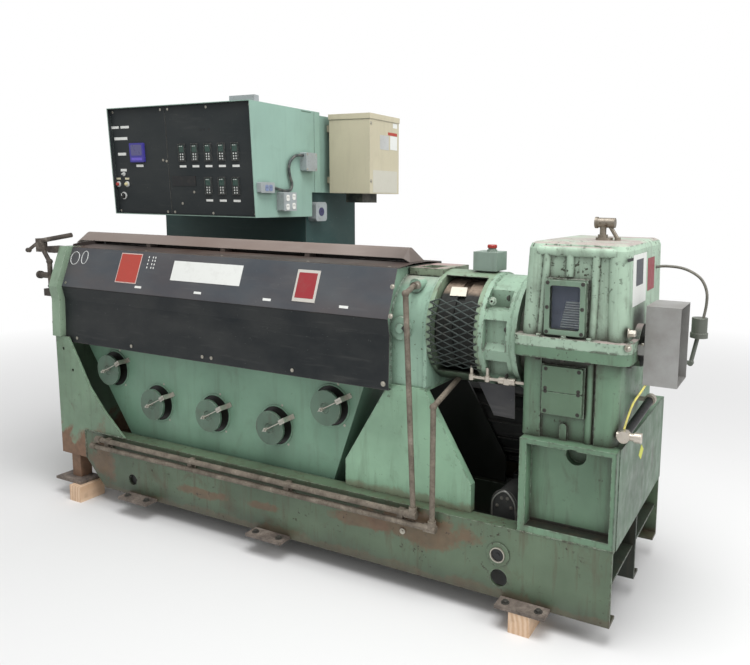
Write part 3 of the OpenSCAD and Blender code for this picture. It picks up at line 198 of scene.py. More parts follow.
hose_stops = [(-5, 560, 1340), (33, 560, 1346), (94, 560, 1343), (143, 560, 1327), (184, 560, 1297),
              (206, 560, 1249), (208, 560, 1195), (200, 560, 1139)]
cable("sensor_hose", hose_stops, 6, sheath("sensor_hose_sheath", (104, 102, 94), 0.35))
oil_sensor_stops = [(60, 150, 930), (48, 118, 905), (30, 90, 870), (16, 74, 820), (6, 63, 772)]
cable("oil_sensor_cable", oil_sensor_stops, 4, sheath("yellow_sheath", (222, 212, 110), 0.4))
conduit_stops = [(-2087, 846, 1852), (-2096, 790, 1845), (-2095, 742, 1813), (-2095, 728, 1774), (-2095, 735, 1729),
                 (-2095, 752, 1685), (-2095, 738, 1652), (-2095, 681, 1646), (-2090, 587, 1662)]
cable("console_conduit", conduit_stops, 8, sheath("conduit_sheath", (52, 60, 60), 0.45))

# Base rails, uprights and shelf
# Welded from 12 mm plate and brushed with grey-green enamel, which is chipped along
# its edges, runs with brown oil dirt and has rusted through at the foot of the upright.


def darkened_along(tree, place, paint, shade):
    """Darkens a finish towards one end along an axis, from where it is untouched to where it is blackest, both in
    machine millimetres. On the support's back plate, the pedestal's end face and the coupling behind its guard this
    darkening is painted shade.
    """
    if not shade:
        return paint
    axis, untouched, black, strength = shade
    origin = {"X": origin_x, "Y": origin_y, "Z": origin_z}[axis]
    along = wire(tree, "ShaderNodeSeparateXYZ", {"Vector": place}).outputs[axis]
    zone = remap(tree, along, (untouched - origin) / 1000, (black - origin) / 1000, 0, strength)
    ragged = remap(tree, noise(tree, place, 7, 6, 0.6, shift=(4, 4, 1)), 0.3, 0.6, 0.7, 1)
    return blend(tree, times(tree, zone, ragged), paint, colour(26, 28, 25))


def blotted(tree, place, paint, spots):
    """Brown oil and rust in ragged patches, each by its X and Z, half width and half height in machine millimetres."""
    parts = wire(tree, "ShaderNodeSeparateXYZ", {"Vector": place}).outputs
    ragged = remap(tree, noise(tree, place, 11, 7, 0.65, shift=(2, 6, 2)), 0.3, 0.7, -0.45, 0.45)
    brown = blend(tree, noise(tree, place, 26, 5), colour(84, 62, 46), colour(128, 98, 74))
    for x, z, wide, high in spots:
        middle = at(x, 0, z)
        over = maths(tree, "DIVIDE", maths(tree, "SUBTRACT", parts["X"], middle.x), wide / 1000)
        rise = maths(tree, "DIVIDE", maths(tree, "SUBTRACT", parts["Z"], middle.z), high / 1000)
        away = wire(tree, "ShaderNodeCombineXYZ", {"X": over, "Y": rise}).outputs["Vector"]
        away = wire(tree, "ShaderNodeVectorMath", {0: away}, operation="LENGTH").outputs["Value"]
        paint = blend(tree, remap(tree, maths(tree, "ADD", away, ragged), 0.75, 1.1, 0.75, 0), paint, brown)
    return paint


def over_edges(tree, radius, samples):
    """The surface's normal turned smoothly over its edges, and how far that is still the flat one."""
    smooth = wire(tree, "ShaderNodeBevel", {"Radius": radius}, samples=samples).outputs["Normal"]
    flat = tree.nodes.new("ShaderNodeNewGeometry").outputs["Normal"]
    return smooth, wire(tree, "ShaderNodeVectorMath", {0: smooth, 1: flat}, operation="DOT_PRODUCT").outputs["Value"]


def facing_along(tree, axis):
    """How far the surface faces along an axis."""
    flat = tree.nodes.new("ShaderNodeNewGeometry").outputs["Normal"]
    return wire(tree, "ShaderNodeSeparateXYZ", {"Vector": flat}).outputs[axis]


def worn_paint(name, tint, chips=0.5, grime=0.4, rough=0.45, edge=0.6, soil=(70, 60, 48), bare=(62, 54, 46),
               edge_wear_and_highlight=(205, 215, 200), fade=0.12, pits=0.3, edge_chips=0.0, hollow=0.0, rust_below=None,
               shade=None, top_dust=None, spots=()):
    """Enamel on steel or iron: uneven tone, runs of dirt, dirt and painted shade in the corners, chips, and rubbed
    edges lightened partly by a painted highlight.

    Rust is given by its full and its last height in metres and its strength, dust on top by its strength and colour.
    """
    material, tree, shader, place = new_finish(name)
    base = colour(*tint)
    tone = noise(tree, place, 2.3, 5)
    darker = tuple(v * (1 - 2.2 * fade) for v in base[:3]) + (1,)
    lighter = tuple(min(1, v * (1 + 2.2 * fade)) for v in base[:3]) + (1,)
    paint = blend(tree, remap(tree, tone, 0.3, 0.7), darker, lighter)
    # runs of dirt, drawn down the sides
    runs = noise(tree, place, 9, 6, 0.6, stretch=(3, 3, 0.35))
    paint = blend(tree, remap(tree, runs, 0.52, 0.78, 0, grime), paint, colour(*soil))
    blotches = noise(tree, place, 5.5, 8, 0.65, shift=(3, 1, 2), bend=0.6)
    paint = blend(tree, remap(tree, blotches, 0.56, 0.72, 0, grime * 0.8), paint, colour(*soil))
    # corners found by ambient occlusion are darkened: dirt and painted shade
    corners = wire(tree, "ShaderNodeAmbientOcclusion", {"Distance": 0.07}, samples=6).outputs["AO"]
    depth = min(0.95, 0.35 + 0.5 * grime + 0.6 * hollow)
    corner_dirt_and_shade = remap(tree, corners, 0.35 + 0.2 * hollow, 0.8 + 0.2 * hollow, depth, 0)
    paint = blend(tree, corner_dirt_and_shade, paint, colour(48, 44, 36))
    paint = blotted(tree, place, paint, spots)
    # rubbed edges lightened as wear and as a painted highlight, dust that lies on top, then chips down to the primer
    smooth, flatness = over_edges(tree, 0.004, 4)
    rim = times(tree, remap(tree, flatness, 0.97, 0.82), remap(tree, noise(tree, place, 60, 4), 0.4, 0.6))
    paint = blend(tree, times(tree, rim, edge), paint, colour(*edge_wear_and_highlight))
    if top_dust:
        strength, dust = top_dust
        patchy = remap(tree, blotches, 0.36, 0.56, 0.15, strength)
        lying = times(tree, remap(tree, facing_along(tree, "Z"), 0.75, 0.95), patchy)
        paint = blend(tree, lying, paint, colour(*dust))
    flecks = noise(tree, place, 55, 6, 0.6, shift=(7, 2, 5))
    where = remap(tree, noise(tree, place, 6, 3, shift=(1, 9, 4)), 0.42, 0.62)
    chipped = times(tree, remap(tree, flecks, 0.665 - 0.06 * chips, 0.69 - 0.06 * chips), where)
    chipped = times(tree, chipped, min(1, chips * 1.6))
    if edge_chips:
        near = over_edges(tree, 0.014, 6)[1]
        broken = remap(tree, noise(tree, place, 34, 5, 0.6, shift=(6, 1, 3)), 0.53, 0.56, 0, edge_chips)
        chipped = maths(tree, "MAXIMUM", chipped, times(tree, remap(tree, near, 0.995, 0.93), broken))
    paint = blend(tree, chipped, paint, colour(*bare))
    worn = chipped
    if rust_below:
        low, high, strength = rust_below
        height = wire(tree, "ShaderNodeSeparateXYZ", {"Vector": place}).outputs["Z"]
        ragged = maths(tree, "ADD", remap(tree, height, low, high, 1, 0), remap(tree, blotches, 0.3, 0.7, -0.35, 0.35))
        rusted = remap(tree, ragged, 0.45, 0.65, 0, strength)
        brown = blend(tree, noise(tree, place, 30, 6), colour(88, 62, 50), colour(150, 112, 88))
        paint = blend(tree, rusted, paint, brown)
        worn = maths(tree, "MAXIMUM", chipped, rusted)
    sheen = remap(tree, noise(tree, place, 14, 5, shift=(2, 2, 8)), 0.3, 0.7, rough - 0.1, rough + 0.15)
    give(tree, shader, {"Base Color": darkened_along(tree, place, paint, shade),
                        "Roughness": maths(tree, "MAXIMUM", sheen, times(tree, worn, 0.8))})
    skin = times(tree, noise(tree, place, 130, 4), pits)
    relief(tree, shader, maths(tree, "SUBTRACT", skin, worn), 0.0012, normal=smooth)
    return material


def finish_node(material, *names):
    """Gives CAD nodes their material, in every slot that they have."""
    for name in names:
        for slot in nodes[name].material_slots:
            slot.material = material


rail_paint = worn_paint("rail_enamel", (90, 108, 86), chips=0.7, grime=0.8, rough=0.4, soil=(84, 70, 52),
                        rust_below=(0.09, 0.16, 0.35), shade=("Z", 110, -10, 0.6), edge_chips=0.6,
                        spots=((-2080, 115, 170, 26), (-1690, 130, 90, 24), (-830, 215, 260, 85), (-1120, 185, 160, 30),
                               (-2830, 160, 110, 110)))
finish_node(rail_paint, "front_rail", "rear_rail")
# the middle rail is the rails' green darkened to near black: painted shade inside the base
finish_node(worn_paint("inner_rail_shaded_enamel", (40, 46, 38), chips=0.3, grime=0.9), "middle_rail")
finish_node(worn_paint("upright_enamel", (118, 144, 119), chips=0.4, grime=0.4, rust_below=(0.14, 0.62, 0.9),
                       edge_chips=0.5), "end_frame")
finish_node(worn_paint("shelf_enamel", (58, 66, 56), chips=0.5, grime=0.9), "base_shelf")


def geometry_tree(name, sockets):
    """A geometry tree with named inputs: numbers have a value, and a material has none."""
    tree = bpy.data.node_groups.new(name, "GeometryNodeTree")
    tree.interface.new_socket("Points", in_out="INPUT", socket_type="NodeSocketGeometry")
    for label, value in sockets.items():
        kind = "Material" if value is None else "Int" if isinstance(value, int) else "Float"
        socket = tree.interface.new_socket(label, in_out="INPUT", socket_type="NodeSocket" + kind)
        if value is not None:
            socket.default_value = value
    tree.interface.new_socket("Geometry", in_out="OUTPUT", socket_type="NodeSocketGeometry")
    return tree, tree.nodes.new("NodeGroupInput").outputs, tree.nodes.new("NodeGroupOutput")


def close_tree(tree, geometry, material, out):
    """The last nodes of each tree: real meshes in one material."""
    real = wire(tree, "GeometryNodeRealizeInstances", {"Geometry": geometry}).outputs["Geometry"]
    done = wire(tree, "GeometryNodeSetMaterial", {"Geometry": real, "Material": material}).outputs["Geometry"]
    give(tree, out, {"Geometry": done})


def random_between(tree, low, high, seed):
    return wire(tree, "FunctionNodeRandomValue", {2: low, 3: high, 8: seed}).outputs[1]


def grown(name, tree, mesh, settings):
    """Runs a geometry tree on a mesh and keeps what it makes as a piece of the machine."""
    piece = into_scene(name, mesh)
    modifier = piece.modifiers.new("grown", "NODES")
    modifier.node_group = tree
    for socket in tree.interface.items_tree:
        if socket.in_out == "INPUT" and socket.name in settings:
            modifier[socket.identifier] = settings[socket.name]
    bpy.context.view_layer.update()
    made = bpy.data.meshes.new_from_object(piece.evaluated_get(bpy.context.evaluated_depsgraph_get()))
    piece.modifiers.clear()
    piece.data = made
    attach(piece, "root")


bead_sockets = {"Bead Radius": 0.005, "Spacing": 0.008, "Seed": 4, "Material": None}
bead_tree, bead_in, bead_out = geometry_tree("weld_beads", bead_sockets)
bead_line = wire(bead_tree, "GeometryNodeMeshToCurve", {"Mesh": bead_in["Points"]}).outputs["Curve"]
bead_line = wire(bead_tree, "GeometryNodeResampleCurve", {"Curve": bead_line, "Length": bead_in["Spacing"]},
                 mode="LENGTH")
bead_blob = wire(bead_tree, "GeometryNodeMeshUVSphere", {"Segments": 8, "Rings": 5, "Radius": bead_in["Bead Radius"]})
bead_size = random_between(bead_tree, 0.75, 1.2, bead_in["Seed"])
bead_row = wire(bead_tree, "GeometryNodeInstanceOnPoints", {"Points": bead_line.outputs["Curve"],
                                                            "Instance": bead_blob.outputs["Mesh"], "Scale": bead_size})
close_tree(bead_tree, bead_row.outputs["Instances"], bead_in["Material"], bead_out)


def weld(name, runs, radius, material):
    """Weld beads along runs, each from one corner to the next."""
    path = bpy.data.meshes.new("weld_runs")
    places, edges = [], []
    for run in runs:
        edges += [(len(places) + i, len(places) + i + 1) for i in range(len(run) - 1)]
        places += [at(*corner) for corner in run]
    path.from_pydata(places, edges, [])
    size = radius / 1000
    grown(name, bead_tree, path, {"Bead Radius": size, "Spacing": size * 1.6, "Material": material})


front, right, up, left, back = (0, -1, 0), (1, 0, 0), (0, 0, 1), (-1, 0, 0), (0, 1, 0)


def keep_shape(name, shape, material):
    """Keeps a finished bmesh as a piece of the machine, in one material."""
    bmesh.ops.recalc_face_normals(shape, faces=shape.faces)
    mesh = bpy.data.meshes.new(name)
    shape.to_mesh(mesh)
    shape.free()
    mesh.materials.append(material)
    kept(name, mesh)


def plate(name, corners, way, thick, material, bevel=0.0):
    """A thin plate or label, or a list of them, that lies on the machine and stands out by its thickness."""
    shape = bmesh.new()
    outlines = corners if isinstance(corners[0], list) else [corners]
    bases = [shape.faces.new([shape.verts.new(at(*corner)) for corner in one]) for one in outlines]
    made = bmesh.ops.extrude_face_region(shape, geom=bases)["geom"]
    raised = [piece for piece in made if isinstance(piece, bmesh.types.BMVert)]
    bmesh.ops.translate(shape, verts=raised, vec=Vector(way).normalized() * thick / 1000)
    if bevel:
        rim = [edge for edge in shape.edges if all(v in raised for v in edge.verts)]
        bmesh.ops.bevel(shape, geom=rim, offset=bevel / 1000, segments=2, affect="EDGES")
    keep_shape(name, shape, material)


def round_points(count, wide, high=None):
    """Points at equal angles on a circle, or on an oval with another half height."""
    angles = [math.tau * k / count for k in range(count)]
    return [(wide * math.cos(a), (high or wide) * math.sin(a)) for a in angles]


weld("upright_weld", [[(-2965, 0, 152), (-2965, 0, 309), (-2650, 0, 309)]], 5, rail_paint)
pedestal_runs = [[(-384, 1, 310), (-2, 1, 310)], [(-384, 2, 310), (-384, 896, 310)]]
weld("pedestal_weld", pedestal_runs, 4.5, rail_paint)
# a black disc behind the rail's hand hole is painted shade inside the rail
hand_hole = [(-2599 + a, 14, 84 + b) for a, b in round_points(32, 32)]
hole_shade_paint = worn_paint("hole_shade_paint", (14, 15, 13), chips=0.0, grime=0.2, edge=0.0)
plate("hand_hole_shade", hand_hole, back, 1, hole_shade_paint)

# Gearbox pedestal
# A welded box of thick plate with a set-back front panel; its enamel is darker and
# dirtier than the castings above it, because oil runs down over it and lies on its ledge.
# Its end face is darkened as painted shade, and near-black sheets on the ledge and at the
# panel's foot are oil dirt and painted shade in the recess.
# darkened towards the end face at X 0: painted shade
finish_node(worn_paint("pedestal_enamel", (102, 132, 107), chips=0.35, grime=0.6, rough=0.42, shade=("X", -9, 0, 0.45),
                       edge_chips=0.5), "gearbox_pedestal")
# near-black sheets on the ledge and at the panel's foot: oil dirt and painted shade in the recess
ledge_dirt_and_shade = worn_paint("ledge_dirt_and_shade", (34, 38, 32), chips=0.2, grime=0.8, edge=0.1)
ledge = [(-354, 4, 338), (-20, 4, 338), (-20, 59.5, 338), (-354, 59.5, 338)]
plate("pedestal_ledge", ledge, up, 1, ledge_dirt_and_shade)
panel_foot = [(-354, 59.5, 339), (-20, 59.5, 339), (-20, 59.5, 351), (-354, 59.5, 351)]
plate("pedestal_foot_shade", panel_foot, front, 1, ledge_dirt_and_shade)

# Floor supports
# Rusty levelling pads, bolted down through the floor once, and four sawn softwood
# blocks that the machine now stands on.


def rusty_steel(name, dark=(84, 62, 50), light=(158, 128, 106), shine=0.5, scale=1.0, shade=None):
    """Steel with rust in fine and coarse patches and some bare metal left."""
    material, tree, shader, place = new_finish(name)
    coarse = noise(tree, place, 12 * scale, 6, 0.65, bend=0.4)
    fine = noise(tree, place, 90 * scale, 6, 0.7)
    skin = blend(tree, remap(tree, coarse, 0.3, 0.7), colour(*dark), colour(*light))
    skin = blend(tree, remap(tree, fine, 0.5, 0.75, 0, 0.6), skin, colour(60, 46, 40))
    bright = remap(tree, coarse, 0.6, 0.68, 0, shine)
    skin = blend(tree, bright, skin, colour(168, 162, 152))
    give(tree, shader, {"Base Color": darkened_along(tree, place, skin, shade), "Metallic": bright,
                        "Roughness": remap(tree, fine, 0.3, 0.7, 0.55, 0.9)})
    relief(tree, shader, fine, 0.0015, 0.6)
    return material


def sawn_wood(name):
    """Pale softwood: growth rings round a far-off heart, drawn out along the piece, and saw marks."""
    material, tree, shader, place = new_finish(name)
    drawn_out = wire(tree, "ShaderNodeMapping", {"Vector": place, "Scale": (14, 1.2, 14), "Location": (0.4, 0, 0.9)})
    rings = wire(tree, "ShaderNodeTexWave", {"Vector": drawn_out.outputs["Vector"], "Scale": 1.1, "Distortion": 3.0,
                                             "Detail": 3}, wave_type="RINGS", rings_direction="Y").outputs["Fac"]
    skin = blend(tree, rings, colour(228, 200, 172), colour(208, 174, 142))
    skin = blend(tree, remap(tree, noise(tree, place, 22, 6), 0.5, 0.8, 0, 0.5), skin, colour(138, 108, 84))
    give(tree, shader, {"Base Color": skin, "Roughness": 0.8})
    saw = noise(tree, place, 160, 3, stretch=(1, 6, 1))
    relief(tree, shader, maths(tree, "ADD", saw, rings), 0.0008, 0.5)
    return material


def head_tree(name, hexagon):
    """A tree that sets a hexagon head on a washer, or a slotted round head, on every point."""
    tree, given, out = geometry_tree(name, {"Head Radius": 0.01, "Head Height": 0.007, "Washer Radius": 0.014,
                                            "Washer Height": 0.002, "Seed": 3, "Material": None})
    tall, thick, wide = given["Head Height"], given["Washer Height"], given["Head Radius"]

    def lifted(geometry, height, size=(1, 1, 1)):
        offset = wire(tree, "ShaderNodeCombineXYZ", {"Z": height}).outputs["Vector"]
        return wire(tree, "GeometryNodeTransform", {"Geometry": geometry, "Translation": offset,
                                                    "Scale": size}).outputs["Geometry"]

    washer = wire(tree, "GeometryNodeMeshCylinder", {"Vertices": 20, "Radius": given["Washer Radius"], "Depth": thick})
    parts = [lifted(washer.outputs["Mesh"], times(tree, thick, 0.5))]
    if hexagon:
        head = wire(tree, "GeometryNodeMeshCylinder", {"Vertices": 6, "Radius": wide, "Depth": tall})
        parts.append(lifted(head.outputs["Mesh"], maths(tree, "ADD", thick, times(tree, tall, 0.5))))
        crown = wire(tree, "GeometryNodeMeshCone", {"Vertices": 6, "Radius Top": times(tree, wide, 0.8),
                                                    "Radius Bottom": wide, "Depth": times(tree, tall, 0.22)})
        parts.append(lifted(crown.outputs["Mesh"], maths(tree, "ADD", thick, tall)))
    else:
        dome = wire(tree, "GeometryNodeMeshUVSphere", {"Segments": 20, "Rings": 10, "Radius": wide})
        dome = lifted(dome.outputs["Mesh"], thick, (1, 1, 0.55))
        slot_size = wire(tree, "ShaderNodeCombineXYZ", {"X": times(tree, wide, 2.4), "Y": times(tree, wide, 0.28),
                                                        "Z": times(tree, wide, 0.6)}).outputs["Vector"]
        cut = wire(tree, "GeometryNodeMeshCube", {"Size": slot_size})
        cut = lifted(cut.outputs["Mesh"], maths(tree, "ADD", thick, times(tree, wide, 0.62)))
        slotted = wire(tree, "GeometryNodeMeshBoolean", {"Mesh 1": dome, "Mesh 2": cut}, operation="DIFFERENCE")
        parts.append(slotted.outputs["Mesh"])
    joined = tree.nodes.new("GeometryNodeJoinGeometry")
    for part in parts:
        tree.links.new(part, joined.inputs["Geometry"])
    facing = wire(tree, "GeometryNodeInputNamedAttribute", {"Name": "facing"}, data_type="FLOAT_VECTOR").outputs[0]
    upright = wire(tree, "FunctionNodeAlignRotationToVector", {"Vector": facing}, axis="Z").outputs["Rotation"]
    angle = random_between(tree, 0, 6.28, given["Seed"])
    turn_by = wire(tree, "FunctionNodeAxisAngleToRotation", {"Axis": (0, 0, 1), "Angle": angle}).outputs["Rotation"]
    tightened = wire(tree, "FunctionNodeRotateRotation", {"Rotation": upright, "Rotate By": turn_by},
                     rotation_space="LOCAL").outputs["Rotation"]
    row = wire(tree, "GeometryNodeInstanceOnPoints", {"Points": given["Points"], "Instance": joined.outputs["Geometry"],
                                                      "Rotation": tightened})
    close_tree(tree, row.outputs["Instances"], given["Material"], out)
    return tree


hexagon_heads, slotted_heads = head_tree("hexagon_heads", True), head_tree("slotted_heads", False)


def fasten(name, spots, facing, radius, material, tree=hexagon_heads, seed=3, height=0.65):
    """Screw or bolt heads at the spots, all facing one way, as one piece; the height is a share of the radius."""
    mesh = bpy.data.meshes.new("spots")
    mesh.from_pydata([at(*spot) for spot in spots], [], [])
    way = mesh.attributes.new("facing", "FLOAT_VECTOR", "POINT")
    for i in range(len(spots)):
        way.data[i].vector = facing
    size = radius / 1000
    grown(name, tree, mesh, {"Head Radius": size, "Head Height": size * height, "Washer Radius": size * 1.45,
                                   "Washer Height": size * 0.18, "Seed": seed, "Material": material})


dark_bolt = rusty_steel("dark_bolt", dark=(40, 40, 37), light=(72, 70, 64), shine=0.12, scale=4)
pad_steel = rusty_steel("pad_steel", dark=(66, 60, 56), light=(138, 126, 116))
finish_node(pad_steel, "levelling_pads")
finish_node(sawn_wood("sawn_softwood"), "timber_blocks")
pad_spots = [(x + side, y, 14) for x in (-2525, -1636, -340) for side in (-70, 70) for y in (-40, 922)]
fasten("pad_bolts", pad_spots, up, 12, dark_bolt, seed=8)

# Feed support and cooling box
# Sheet metal in the pale machine green: the trapezoid that carries the feed housing
# and the air box with its five ports below the barrel.
# the back plate, from Y 200 to 420, is darkened nearly to black: painted shade
finish_node(worn_paint("support_enamel", (138, 174, 146), chips=0.35, grime=0.35, rust_below=(0.39, 0.47, 0.4),
                       shade=("Y", 200, 420, 1.3), edge_chips=0.5), "feed_support")
finish_node(worn_paint("air_box_enamel", (116, 152, 129), chips=0.15, grime=0.25, rough=0.38, fade=0.08, edge=0.3,
                       shade=("Z", 420, 180, 0.35)), "cooling_box")


def plated_steel(name, tint=(176, 172, 160), rough=0.35, stain=0.35, metal=0.75):
    """Zinc-plated or bright steel that has dulled in spots."""
    material, tree, shader, place = new_finish(name)
    spots = noise(tree, place, 70, 6, 0.6)
    cloud = noise(tree, place, 9, 4)
    skin = blend(tree, remap(tree, cloud, 0.35, 0.7, 0, stain), colour(*tint), colour(112, 104, 92))
    skin = blend(tree, remap(tree, spots, 0.56, 0.7, 0, stain), skin, colour(96, 76, 60))
    give(tree, shader, {"Base Color": skin, "Metallic": metal,
                        "Roughness": remap(tree, spots, 0.3, 0.7, rough - 0.08, rough + 0.2)})
    relief(tree, shader, spots, 0.0004, 0.4)
    return material


bright_bolt = plated_steel("bright_bolt", (190, 186, 174), 0.32, 0.3)


def screws(name, spots, facing, radius, seed, material=bright_bolt):
    """Slotted screws at the spots, all facing one way, as one piece."""
    fasten(name, spots, facing, radius, material, slotted_heads, seed)


ports = [(-2815, 657), (-2485, 509), (-2085, 509), (-1685, 509), (-1355, 657)]
box_front, screw_circle = 100, 112
screw_turns = [math.radians(angle) for angle in (70, 190, 310)]
port_screws = [(x + screw_circle * math.cos(a), box_front, z + screw_circle * math.sin(a))
               for x, z in ports for a in screw_turns]
screws("port_screws", port_screws, front, 4, 5)

# Dampers
# Spun discs in the same green over the ports, each held off its port by a rod with
# a wing nut and by a bright clip that is screwed to the box; black discs inside the ports
# are painted shade.
bright_plate = plated_steel("bright_plate", (196, 194, 184), 0.3)
port_shade_paint = worn_paint("port_shade_paint", (14, 17, 16), chips=0.0, grime=0.1, edge=0.0)
for i, (x, z) in enumerate(ports):
    # a black disc just inside each port is painted shade
    hole = [(x + a, box_front + 0.9, z + b) for a, b in round_points(48, 94)]
    plate("port_inside_%d" % (i + 1), hole, front, 0.6, port_shade_paint)
    link = [(x, 19, z), (x + 30, 27, z + 17), (x + 62, 36, z + 35), (x + 90, 41, z + 51)]
    tube_along("damper_link_%d" % (i + 1), link, 2.6, bright_plate)
finish_node(worn_paint("disc_enamel", (84, 108, 92), chips=0.3, grime=0.45, rough=0.4), "damper_discs")
finish_node(bright_plate, "damper_rods")

# Barrel cover
# Black enamelled sheet below, dark grey leaning panels above with bare signs and plates
# on them, and a heat-stained brown ridge cap that lets the hot air out.


def seamed(tree, place, skin, seams):
    """Dark door seams on the back of a cabinet, at places along it (X) and at heights (Z)."""
    parts = wire(tree, "ShaderNodeSeparateXYZ", {"Vector": place}).outputs
    on_back = maths(tree, "GREATER_THAN", facing_along(tree, "Y"), 0.6)
    for axis, where in seams:
        spot = at(where, 0, where)
        off = maths(tree, "ABSOLUTE", maths(tree, "SUBTRACT", parts[axis], spot.x if axis == "X" else spot.z))
        line = times(tree, remap(tree, off, 0.002, 0.0035, 1, 0), on_back)
        skin = blend(tree, line, skin, colour(12, 14, 14))
    return skin


def dusty_sheet(name, tint, dust=(150, 148, 142), amount=0.3, rough=0.35, brown=0.0, shade=None, seams=()):
    """Dark stoved sheet with a soft shine, dust specks, faint wiped streaks, heat stain and a painted highlight on its
    edges.
    """
    material, tree, shader, place = new_finish(name)
    cloud = noise(tree, place, 3.2, 5, 0.55, stretch=(1, 1, 1.6))
    skin = blend(tree, remap(tree, cloud, 0.35, 0.75, 0, amount), colour(*tint), colour(*dust))
    if brown:
        stain = remap(tree, noise(tree, place, 2.2, 6, stretch=(0.7, 2, 2), shift=(5, 1, 1)), 0.4, 0.66, 0, brown)
        skin = blend(tree, stain, skin, colour(104, 74, 58))
    wiped = noise(tree, place, 18, 5, stretch=(0.25, 1, 2.2), shift=(2, 0, 6))
    skin = blend(tree, remap(tree, wiped, 0.58, 0.8, 0, amount * 0.8), skin, colour(*dust))
    specks = remap(tree, noise(tree, place, 170, 3), 0.74, 0.76, 0, 0.6)
    skin = blend(tree, specks, skin, colour(190, 190, 185))
    smooth, flatness = over_edges(tree, 0.002, 4)
    # pale edges: a painted highlight
    skin = blend(tree, remap(tree, flatness, 0.98, 0.85, 0, 0.6), skin, colour(168, 164, 156))
    skin = seamed(tree, place, skin, seams) if seams else skin
    give(tree, shader, {"Base Color": darkened_along(tree, place, skin, shade), "Specular IOR Level": 0.25,
                        "Roughness": remap(tree, cloud, 0.3, 0.7, rough, rough + 0.2)})
    relief(tree, shader, noise(tree, place, 6, 3), 0.004, 0.25, smooth)
    return material


finish_node(dusty_sheet("black_panel", (27, 32, 35), amount=0.1), "lower_panels")
finish_node(dusty_sheet("grey_panel", (70, 75, 81), amount=0.14, brown=0.2), "upper_panels")
finish_node(dusty_sheet("roof_sheet", (58, 50, 48), amount=0.2, brown=0.4), "cover_roof")
finish_node(dusty_sheet("ridge_sheet", (130, 118, 112), dust=(156, 148, 140), amount=0.3, brown=0.25, rough=0.5,
                        shade=("X", -1350, -1030, 0.45)), "ridge_cap")


def outline(side, depth, a0, a1, z0, z1, r=0):
    """Corners of an upright rectangle with round corners, on the front ("y") or the end ("x") of the machine."""
    corners = []
    centres = (a1 - r, z1 - r), (a0 + r, z1 - r), (a0 + r, z0 + r), (a1 - r, z0 + r)
    for (a, z), start in zip(centres, (0, 90, 180, 270)):
        for step in range(6 if r else 1):
            angle = math.radians(start + 18 * step)
            corners.append((a + r * math.cos(angle), z + r * math.sin(angle)))
    return [(a, depth, z) if side == "y" else (depth, a, z) for a, z in corners]


def printed(name, tint, rough=0.4, dirt=0.3, rubbed=(120, 112, 100)):
    """A bare label, tape or enamelled plate: plain colour with dirty and rubbed places."""
    material, tree, shader, place = new_finish(name)
    cloud = noise(tree, place, 24, 6, 0.65, shift=(2, 5, 1))
    skin = blend(tree, remap(tree, cloud, 0.52, 0.76, 0, dirt), colour(*tint), colour(*rubbed))
    give(tree, shader, {"Base Color": skin, "Roughness": remap(tree, cloud, 0.3, 0.7, rough, rough + 0.25)})
    relief(tree, shader, cloud, 0.0004, 0.3)
    return material


lean_foot, lean_back, lean_rise = 1104, 80, 212
lean_way = (0, -lean_rise, lean_back)


def lean_y(z):
    """How far back the leaning panel is at a height."""
    return 15 + (z - lean_foot) * lean_back / lean_rise


def leaning(x0, x1, z0, z1):
    return [(x, lean_y(z), z) for x, z in ((x1, z1), (x0, z1), (x0, z0), (x1, z0))]


def on_cover(name, corners, thick, material, bevel=0.0):
    """A plate, or a list of them, on the leaning panels."""
    plate(name, corners, lean_way, thick, material, bevel)


white_label = printed("white_label", (226, 228, 224), dirt=0.12)
red_label = printed("red_label", (176, 66, 54), dirt=0.2)
low_face, screw_row = 21.5, 820
low_screws = [(x, low_face, screw_row) for x in (-3020, -2588, -2081, -2021, -1519)]
screws("low_panel_screws", low_screws, front, 6, 2)
high_screws = [(x, lean_y(z), z) for x, z in ((-988, 1119), (-1006, 1239))]
screws("leaning_panel_screws", high_screws, lean_way, 8, 6)
screws("leaning_left_screw", [(-3092, lean_y(1125), 1125)], lean_way, 5, 6)
screws("low_right_screw", [(-1025, low_face, screw_row)], front, 8, 3)
for i, x in enumerate((-2524, -2105, -1666, -1233)):
    on_cover("zone_tag_%d" % i, leaning(x - 24, x + 24, 1132, 1143), 0.6, white_label)
on_cover("red_notice_border", leaning(-2706, -2548, 1152, 1304), 0.6, printed("notice_border", (206, 180, 172)))
on_cover("red_notice", leaning(-2701, -2553, 1157, 1299), 1.2, red_label)
marks = [leaning(x, x + 6, z, z + 9) for x in (-2500, -2470, -2452) for z in (1234, 1252, 1270, 1286)]
on_cover("paint_marks", marks, 0.4, white_label)
on_cover("white_sign", leaning(-2310, -1851, 1186, 1282), 1, white_label)
on_cover("badge", leaning(-1521, -1393, 1142, 1283), 2.5, printed("badge_enamel", (196, 192, 184), 0.3, 0.2), 0.8)
on_cover("badge_field", leaning(-1509, -1405, 1158, 1270), 3.2, printed("badge_field", (150, 44, 50), 0.3, 0.2))
badge_screws = [(x, lean_y(z), z) for x in (-1513, -1401) for z in (1150, 1276)]
screws("badge_screws", badge_screws, lean_way, 3.5, 4)
chalk = printed("chalk", (206, 208, 206), 0.8, 0.6, (96, 98, 100))
for i, (x, z, wide) in enumerate(((-3068, 1259, 34), (-2990, 1266, 24))):
    ring = round_points(10, wide, 34)
    oval = [(x + a, lean_y(z + b) - 1, z + b) for a, b in ring + ring[:1]]
    tube_along("chalk_oval_%d" % (i + 1), oval, 2, chalk)
